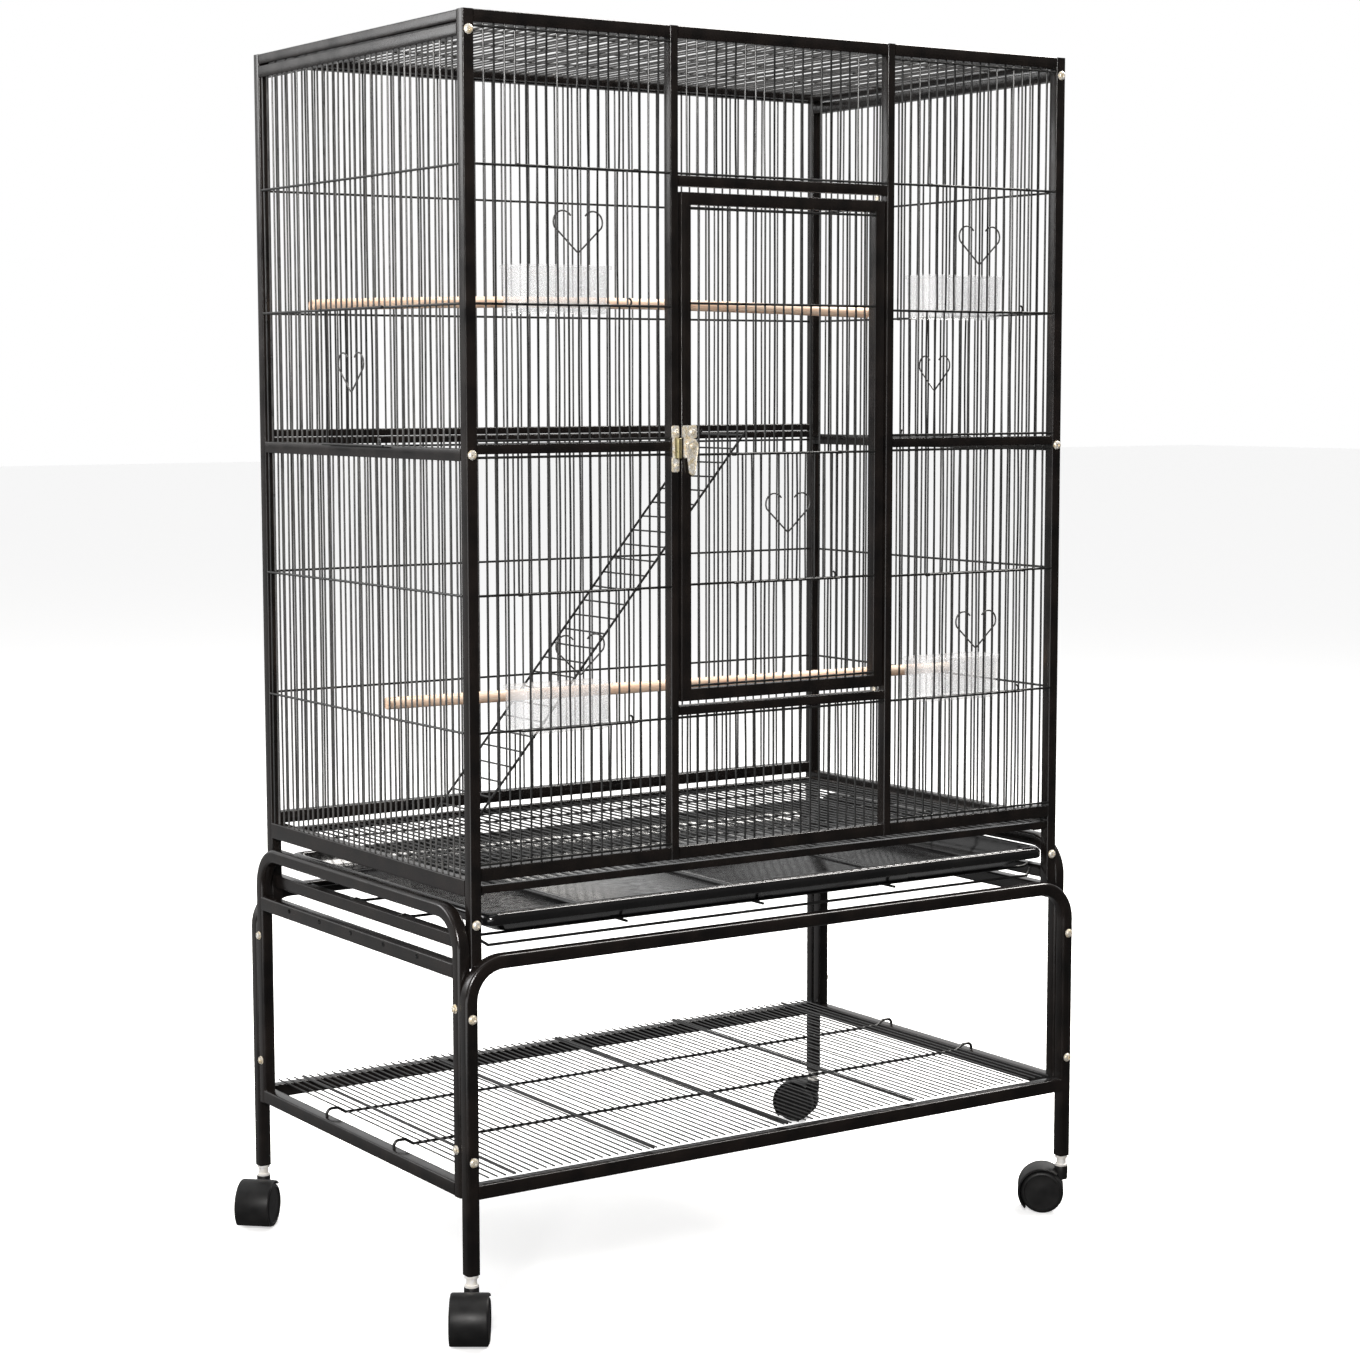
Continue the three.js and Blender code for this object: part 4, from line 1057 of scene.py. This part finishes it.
def latch():
    keeper_low, keeper_high = local_box(FRONT, "latch_keeper")
    plate_low, plate_high = local_box(FRONT, "latch_plate")
    lever_low, lever_high = local_box(FRONT, "latch_lever")
    face = keeper_high.y - LATCH_SHEET
    pivot = Vector(((lever_low.x + lever_high.x) / 2, 0, lever_high.z - 0.0075))

    def keeper(bm):
        low, high = keeper_low, keeper_high
        pressed_plate(bm, (low.x, face, low.z), (high.x, high.y, low.z + LOWER_LUG))
        pressed_plate(bm, (low.x, face, high.z - LUG), (high.x, high.y, high.z))
        pressed_plate(bm, (low.x + 0.001, face + 0.0002, low.z + 0.01),
                      (high.x - 0.003, high.y, high.z - 0.01))

    def plate(bm):
        low, high = plate_low, plate_high
        pressed_plate(bm, (low.x, face, high.z - LUG), (high.x, high.y, high.z))
        pressed_plate(bm, (low.x + 0.0016, face + 0.0002, low.z), (high.x - 0.004, high.y, high.z - 0.010))

    def lever(bm):
        """A teardrop pressing with a raised rim."""
        head, tip = 0.0075, 0.0036
        drop = lever_high.z - lever_low.z - head - tip
        outline = (arc((pivot.x, 0, pivot.z), head, 0, 180, 14)
                   + arc((pivot.x, 0, pivot.z - drop), tip, 180, 360, 10))
        outline.reverse()
        heart = Vector((pivot.x, 0, pivot.z - drop / 2))
        face_y, back_y = lever_low.y, lever_high.y
        rings = []
        for y, scale in ((back_y, 0.96), (back_y - 0.0005, 1.0), (face_y + 0.0009, 1.0),
                         (face_y, 0.93), (face_y, 0.86), (face_y + 0.0007, 0.76)):
            rings.append([bm.verts.new(heart + (p - heart) * scale + Y * y) for p in outline])
        skin(bm, rings, False)
        bmesh.ops.recalc_face_normals(bm, faces=bm.faces)

    r, h = 0.0036, keeper_high.z - keeper_low.z - 0.0275
    barrel_at = Matrix.Translation((keeper_high.x - 0.0030, face - 0.0022, keeper_low.z + 0.0145))
    barrel = lathe([(0, 0), (r - 0.0005, 0), (r, 0.0005), (r, h * 0.32), (r - 0.0004, h * 0.34),
                    (r, h * 0.36), (r, h - 0.0005), (r - 0.0005, h), (0, h)], barrel_at)
    outwards = Matrix.Rotation(math.radians(90), 4, "X")
    rivet_at = Matrix.Translation((pivot.x, lever_low.y - 0.0006, pivot.z)) @ outwards
    rivet = lathe([(0, -0.0022), (0.0022, -0.0022), (0.0022, -0.0004), (0.0026, 0), (0.0024, 0.0006),
                   (0.0012, 0.0010), (0, 0.0010)], rivet_at)
    small = pan_head()
    small.transform(Matrix.Scale(0.62, 4))
    screw_x, screw_drop = keeper_low.x + 0.0052, 0.0068
    keeper_screws = [Vector((screw_x, face, keeper_high.z - screw_drop)),
                     Vector((screw_x, face, keeper_low.z + 0.0075))]
    plate_screws = [Vector((plate_high.x - 0.0062, face, plate_high.z - screw_drop))]
    for node, body, shells in (
        ("latch_keeper", "frame", [
            (shape(keeper), ZINC), (barrel, SHADE_DARKENED_BARREL), heads_at(small.copy(), keeper_screws, -Y)]),
        ("latch_plate", "main_door", [
            (shape(plate), ZINC), (rivet, ZINC), heads_at(small.copy(), plate_screws, -Y)]),
        ("latch_lever", "latch_lever", [(shape(lever), ZINC)]),
    ):
        put(f"{node}_pressed", body, shells, [node], FRONT)


# ---- Casters ----

HOOD_SPAN = (52, 224)             # degrees round the axle, from the front up and over to the back
WHEELS_HALF = 0.020               # half the width over both wheels
HOOD_GAP, HOOD_WALL = 0.0010, 0.0025
WEB_HALF = 0.0042                 # half the thickness of the web between the wheels


def joint_place(name):
    joint = next(j for j in frame["joints"] if j["name"] == name)
    return Vector(joint["pos_m"]), Vector(joint["axis"])


def caster(place_name):
    """A hooded twin-wheel caster: wheels on an axle along local x, trailing behind the stem."""
    fork, wheels = f"caster_fork_{place_name}", f"caster_wheels_{place_name}"
    stem, _ = joint_place(f"caster_swivel_{place_name}")
    axle, axis = joint_place(f"caster_roll_{place_name}")
    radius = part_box(wheels)[1].z / 2
    axle.z, stem.z = radius, 0
    at_axle = Matrix.Translation(axle) @ Matrix.Rotation(math.atan2(axis.y, axis.x), 4, "Z")
    flat = Matrix.Rotation(math.radians(90), 4, "Y")
    half, r = WHEELS_HALF, radius

    def wheel_build(bm):
        profile = [
            (0, 0.005), (r - 0.003, 0.005), (r - 0.0008, 0.0062), (r, 0.0085), (r, 0.0165),
            (r - 0.0008, 0.0188), (r - 0.0026, half), (r - 0.0042, half), (r - 0.0048, half - 0.0010),
            (r - 0.0085, half - 0.0012), (r * 0.34, half - 0.0004), (r * 0.12, half - 0.0002),
            (0, half - 0.0002)]
        for turn in (math.pi, 0):
            spin_profile(bm, profile, at_axle @ Matrix.Rotation(turn, 4, "Z") @ flat, 48)
        axle_profile = [(0, -0.006), (0.0029, -0.006), (0.0029, 0.006), (0, 0.006)]
        spin_profile(bm, axle_profile, at_axle @ flat, 16)
        tidy(bm)

    inside = radius + HOOD_GAP
    outside = inside + HOOD_WALL

    def hood_build(bm):
        """An arched cover over both wheels, thicker along its rolled edges, and its web."""
        edge = [(outside, half - 0.002), (outside - 0.0004, half - 0.0006), (outside - 0.001, half),
                (inside + 0.0004, half), (inside, half - 0.0008)]
        section = [(w, -x) for w, x in edge] + [(w, x) for w, x in reversed(edge)]
        start, end = HOOD_SPAN
        rings = []
        for i in range(33):
            a = math.radians(start + (end - start) * i / 32)
            rings.append([
                bm.verts.new(at_axle @ Vector((x, w * math.cos(a), w * math.sin(a)))) for w, x in section])
        skin(bm, rings, False)
        outline = (arc((0, 0, 0), outside - 0.0015, start, end, 24, u=Y, v=Z)
                   + arc((0, 0, 0), 0.0068, 240, 390, 10, u=Y, v=Z))
        web = [[bm.verts.new(at_axle @ (p + X * w)) for p in outline] for w in (-WEB_HALF, WEB_HALF)]
        skin(bm, web, False)
        bmesh.ops.recalc_face_normals(bm, faces=bm.faces)

    boss_low, fork_top = radius + 0.019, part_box(fork)[1].z
    boss_top, z = boss_low + 0.0100, boss_low + 0.0095
    at = Matrix.Translation(stem)
    boss = lathe([(0, boss_low - 0.006), (0.0074, boss_low - 0.006), (0.0078, boss_low),
                  (0.0078, boss_low + 0.0085), (0.0070, boss_top), (0, boss_top)], at, 28)
    pin = lathe([(0, z), (0.0072, z), (0.0074, z + 0.0008), (0.0074, z + 0.0024), (0.0056, z + 0.0030),
                 (0.0054, fork_top - 0.0036), (0.0072, fork_top - 0.0030), (0.0072, fork_top),
                 (0, fork_top)], at, 28)
    put(f"{fork}_moulded", fork,
        [(shape(hood_build), CASTER), (boss, CASTER), (pin, STEM_ZINC)], [fork])
    put(f"{wheels}_moulded", wheels, [(shape(wheel_build), CASTER)], [wheels])


# ---- The whole cage ----

front_section(-1, "front_left_section")
front_section(1, "front_right_section")
front_middle("front_header", TOP_BAR, (header_low.z, header_low.z + HEADER_BAR), WIRE_LEVELS[3])
front_middle("front_sill", (sill_high.z - BAR, sill_high.z), FRONT_FOOT_BAR, WIRE_LEVELS[0])
back_panel()
side_panel(LEFT, "left_panel", local_box(LEFT, "gate_left_side"))
side_panel(RIGHT, "right_panel", local_box(RIGHT, "gate_right_side"))
grate_ledge(LEFT, "grate_ledge_left")
grate_ledge(RIGHT, "grate_ledge_right")
roof_panel()
main_door()
for name in ("front_left_upper", "front_left_lower", "front_right_upper", "front_right_lower", "main_door"):
    gate(f"gate_{name}", FRONT)
gate("gate_left_side", LEFT)
gate("gate_right_side", RIGHT)
for name in ("left_upper", "left_lower", "right_upper", "right_lower"):
    cup(f"cup_{name}")
perch("perch_upper", 0.0075, -0.002)
perch("perch_lower", 0, 0.005)
ladder()
floor_grate()
tray()
tray_rack()
stand_side("stand_side_left", LEFT)
stand_side("stand_side_right", RIGHT)
stand_hoop("stand_hoop_front", FRONT)
stand_hoop("stand_hoop_back", BACK)
shelf()
fasteners()
hinge_pins()
latch()
for name in ("front_left", "back_left", "front_right", "back_right"):
    caster(name)


# ---- Floor, light and camera ----

def white_to_the_eye(tree, shown, hidden, output):
    """What the eye sees, and another shade for all that only lights or reflects."""
    path = tree.nodes.new("ShaderNodeLightPath").outputs
    seen = math_node(tree, "MAXIMUM", path["Is Camera Ray"], path["Is Transmission Ray"])
    mix = add_node(tree, "ShaderNodeMixShader", [(0, seen), (1, hidden.outputs[0]), (2, shown.outputs[0])])
    tree.links.new(mix.outputs[0], tree.nodes[output].inputs["Surface"])


def shade_along(tree, source, axis, dark, bright, start, end):
    """A grey that goes from dark at one place on an axis to bright at another."""
    parts = add_node(tree, "ShaderNodeSeparateXYZ", [(0, source)])
    span = add_node(
        tree, "ShaderNodeMapRange", [("Value", parts.outputs[axis])], interpolation_type="SMOOTHSTEP",
        From_Min=start, From_Max=end, To_Min=dark, To_Max=bright)
    return span.outputs["Result"]


def paper_floor():
    """White paper. In reflections it glows at the back and at the left."""
    mesh = bpy.data.meshes.new("floor")
    size = 30
    mesh.from_pydata(ring((-size, -size), (size, size), 0), [], [(0, 1, 2, 3)])
    material, tree, shader = new_material("floor_paper")
    for label, value in (
            ("Base Color", (0.86, 0.86, 0.86, 1)), ("Roughness", 0.9), ("Specular IOR Level", 0.1),
            ("Emission Color", (1, 1, 1, 1)), ("Emission Strength", 0.52)):
        shader.inputs[label].default_value = value
    place = tree.nodes.new("ShaderNodeTexCoord").outputs["Object"]
    back = shade_along(tree, place, "Y", 0.05, 0.35, -0.6, 1.5)
    left = shade_along(tree, place, "X", 2.2, 0.0, -2.1, -1.2)
    front = shade_along(tree, place, "Y", 1.0, 0.0, -0.4, 0.6)
    glow = add_node(tree, "ShaderNodeEmission", [
        ("Strength", math_node(tree, "ADD", math_node(tree, "MULTIPLY", left, front), back))])
    white_to_the_eye(tree, shader, glow, "Material Output")
    mesh.materials.append(material)
    new_object("floor", mesh)


def white_room():
    """White all round to the eye. In reflections it is dark at the front and low down."""
    world = bpy.data.worlds.new("studio")
    world.use_nodes = True
    bpy.context.scene.world = world
    tree = world.node_tree
    wall = tree.nodes["Background"]
    wall.inputs["Color"].default_value = (1, 1, 1, 1)
    direction = tree.nodes.new("ShaderNodeTexCoord").outputs["Generated"]
    deep = shade_along(tree, direction, "Y", 0.10, 1.0, -0.15, 0.55)
    high = shade_along(tree, direction, "Z", 0.22, 1.0, -0.03, 0.13)
    room = add_node(tree, "ShaderNodeBackground", [("Strength", math_node(tree, "MULTIPLY", deep, high))])
    white_to_the_eye(tree, wall, room, "World Output")


def lamp(kind, name, at, target, power, **settings):
    light = bpy.data.lights.new(name, kind)
    light.energy = power
    for key, value in settings.items():
        setattr(light, key, value)
    obj = new_object(name, light)
    obj.location = at
    obj.rotation_mode = "QUATERNION"
    obj.rotation_quaternion = (Vector(target) - Vector(at)).to_track_quat("-Z", "Y")


def lamps():
    lamp("SUN", "overhead", (-0.15, 0.1, 4), (0, 0, 0), 0.35, angle=math.radians(42))
    lamp("AREA", "left_panel_light", (-3.2, 2.6, 2.4), (0, 0, 1.3), 70,
         shape="RECTANGLE", size=2.6, size_y=1.9)
    lamp("AREA", "front_left_light", (-2.9, -3.5, 2.4), (0, 0, 0.7), 200,
         shape="SQUARE", size=1.15, color=(1.0, 0.98, 0.96))
    lamp("AREA", "top_panel_light", (2.0, 0.1, 3.2), (0.4, -0.1, 0.5), 260,
         shape="RECTANGLE", size=1.5, size_y=2.0, color=(1.0, 0.97, 0.93))


def photographer():
    data = bpy.data.cameras.new("camera")
    data.sensor_width, data.sensor_height, data.sensor_fit = 36, 36, "AUTO"
    data.lens = 73.73
    data.clip_start, data.clip_end = 0.05, 100
    camera = new_object("camera", data)
    yaw, pitch, roll = math.radians(33.791), math.radians(-6.059), math.radians(-0.09)
    look = Vector((
        math.sin(yaw) * math.cos(pitch), math.cos(yaw) * math.cos(pitch), math.sin(pitch)))
    camera.location = middle + Vector((-1.75707, -2.65978, 0.96754))
    camera.rotation_mode = "QUATERNION"
    tilt = Matrix.Rotation(roll, 3, "Z").to_quaternion()
    camera.rotation_quaternion = look.to_track_quat("-Z", "Y") @ tilt
    bpy.context.scene.camera = camera


paper_floor()
white_room()
lamps()
photographer()
bpy.context.scene.view_settings.view_transform = "Standard"
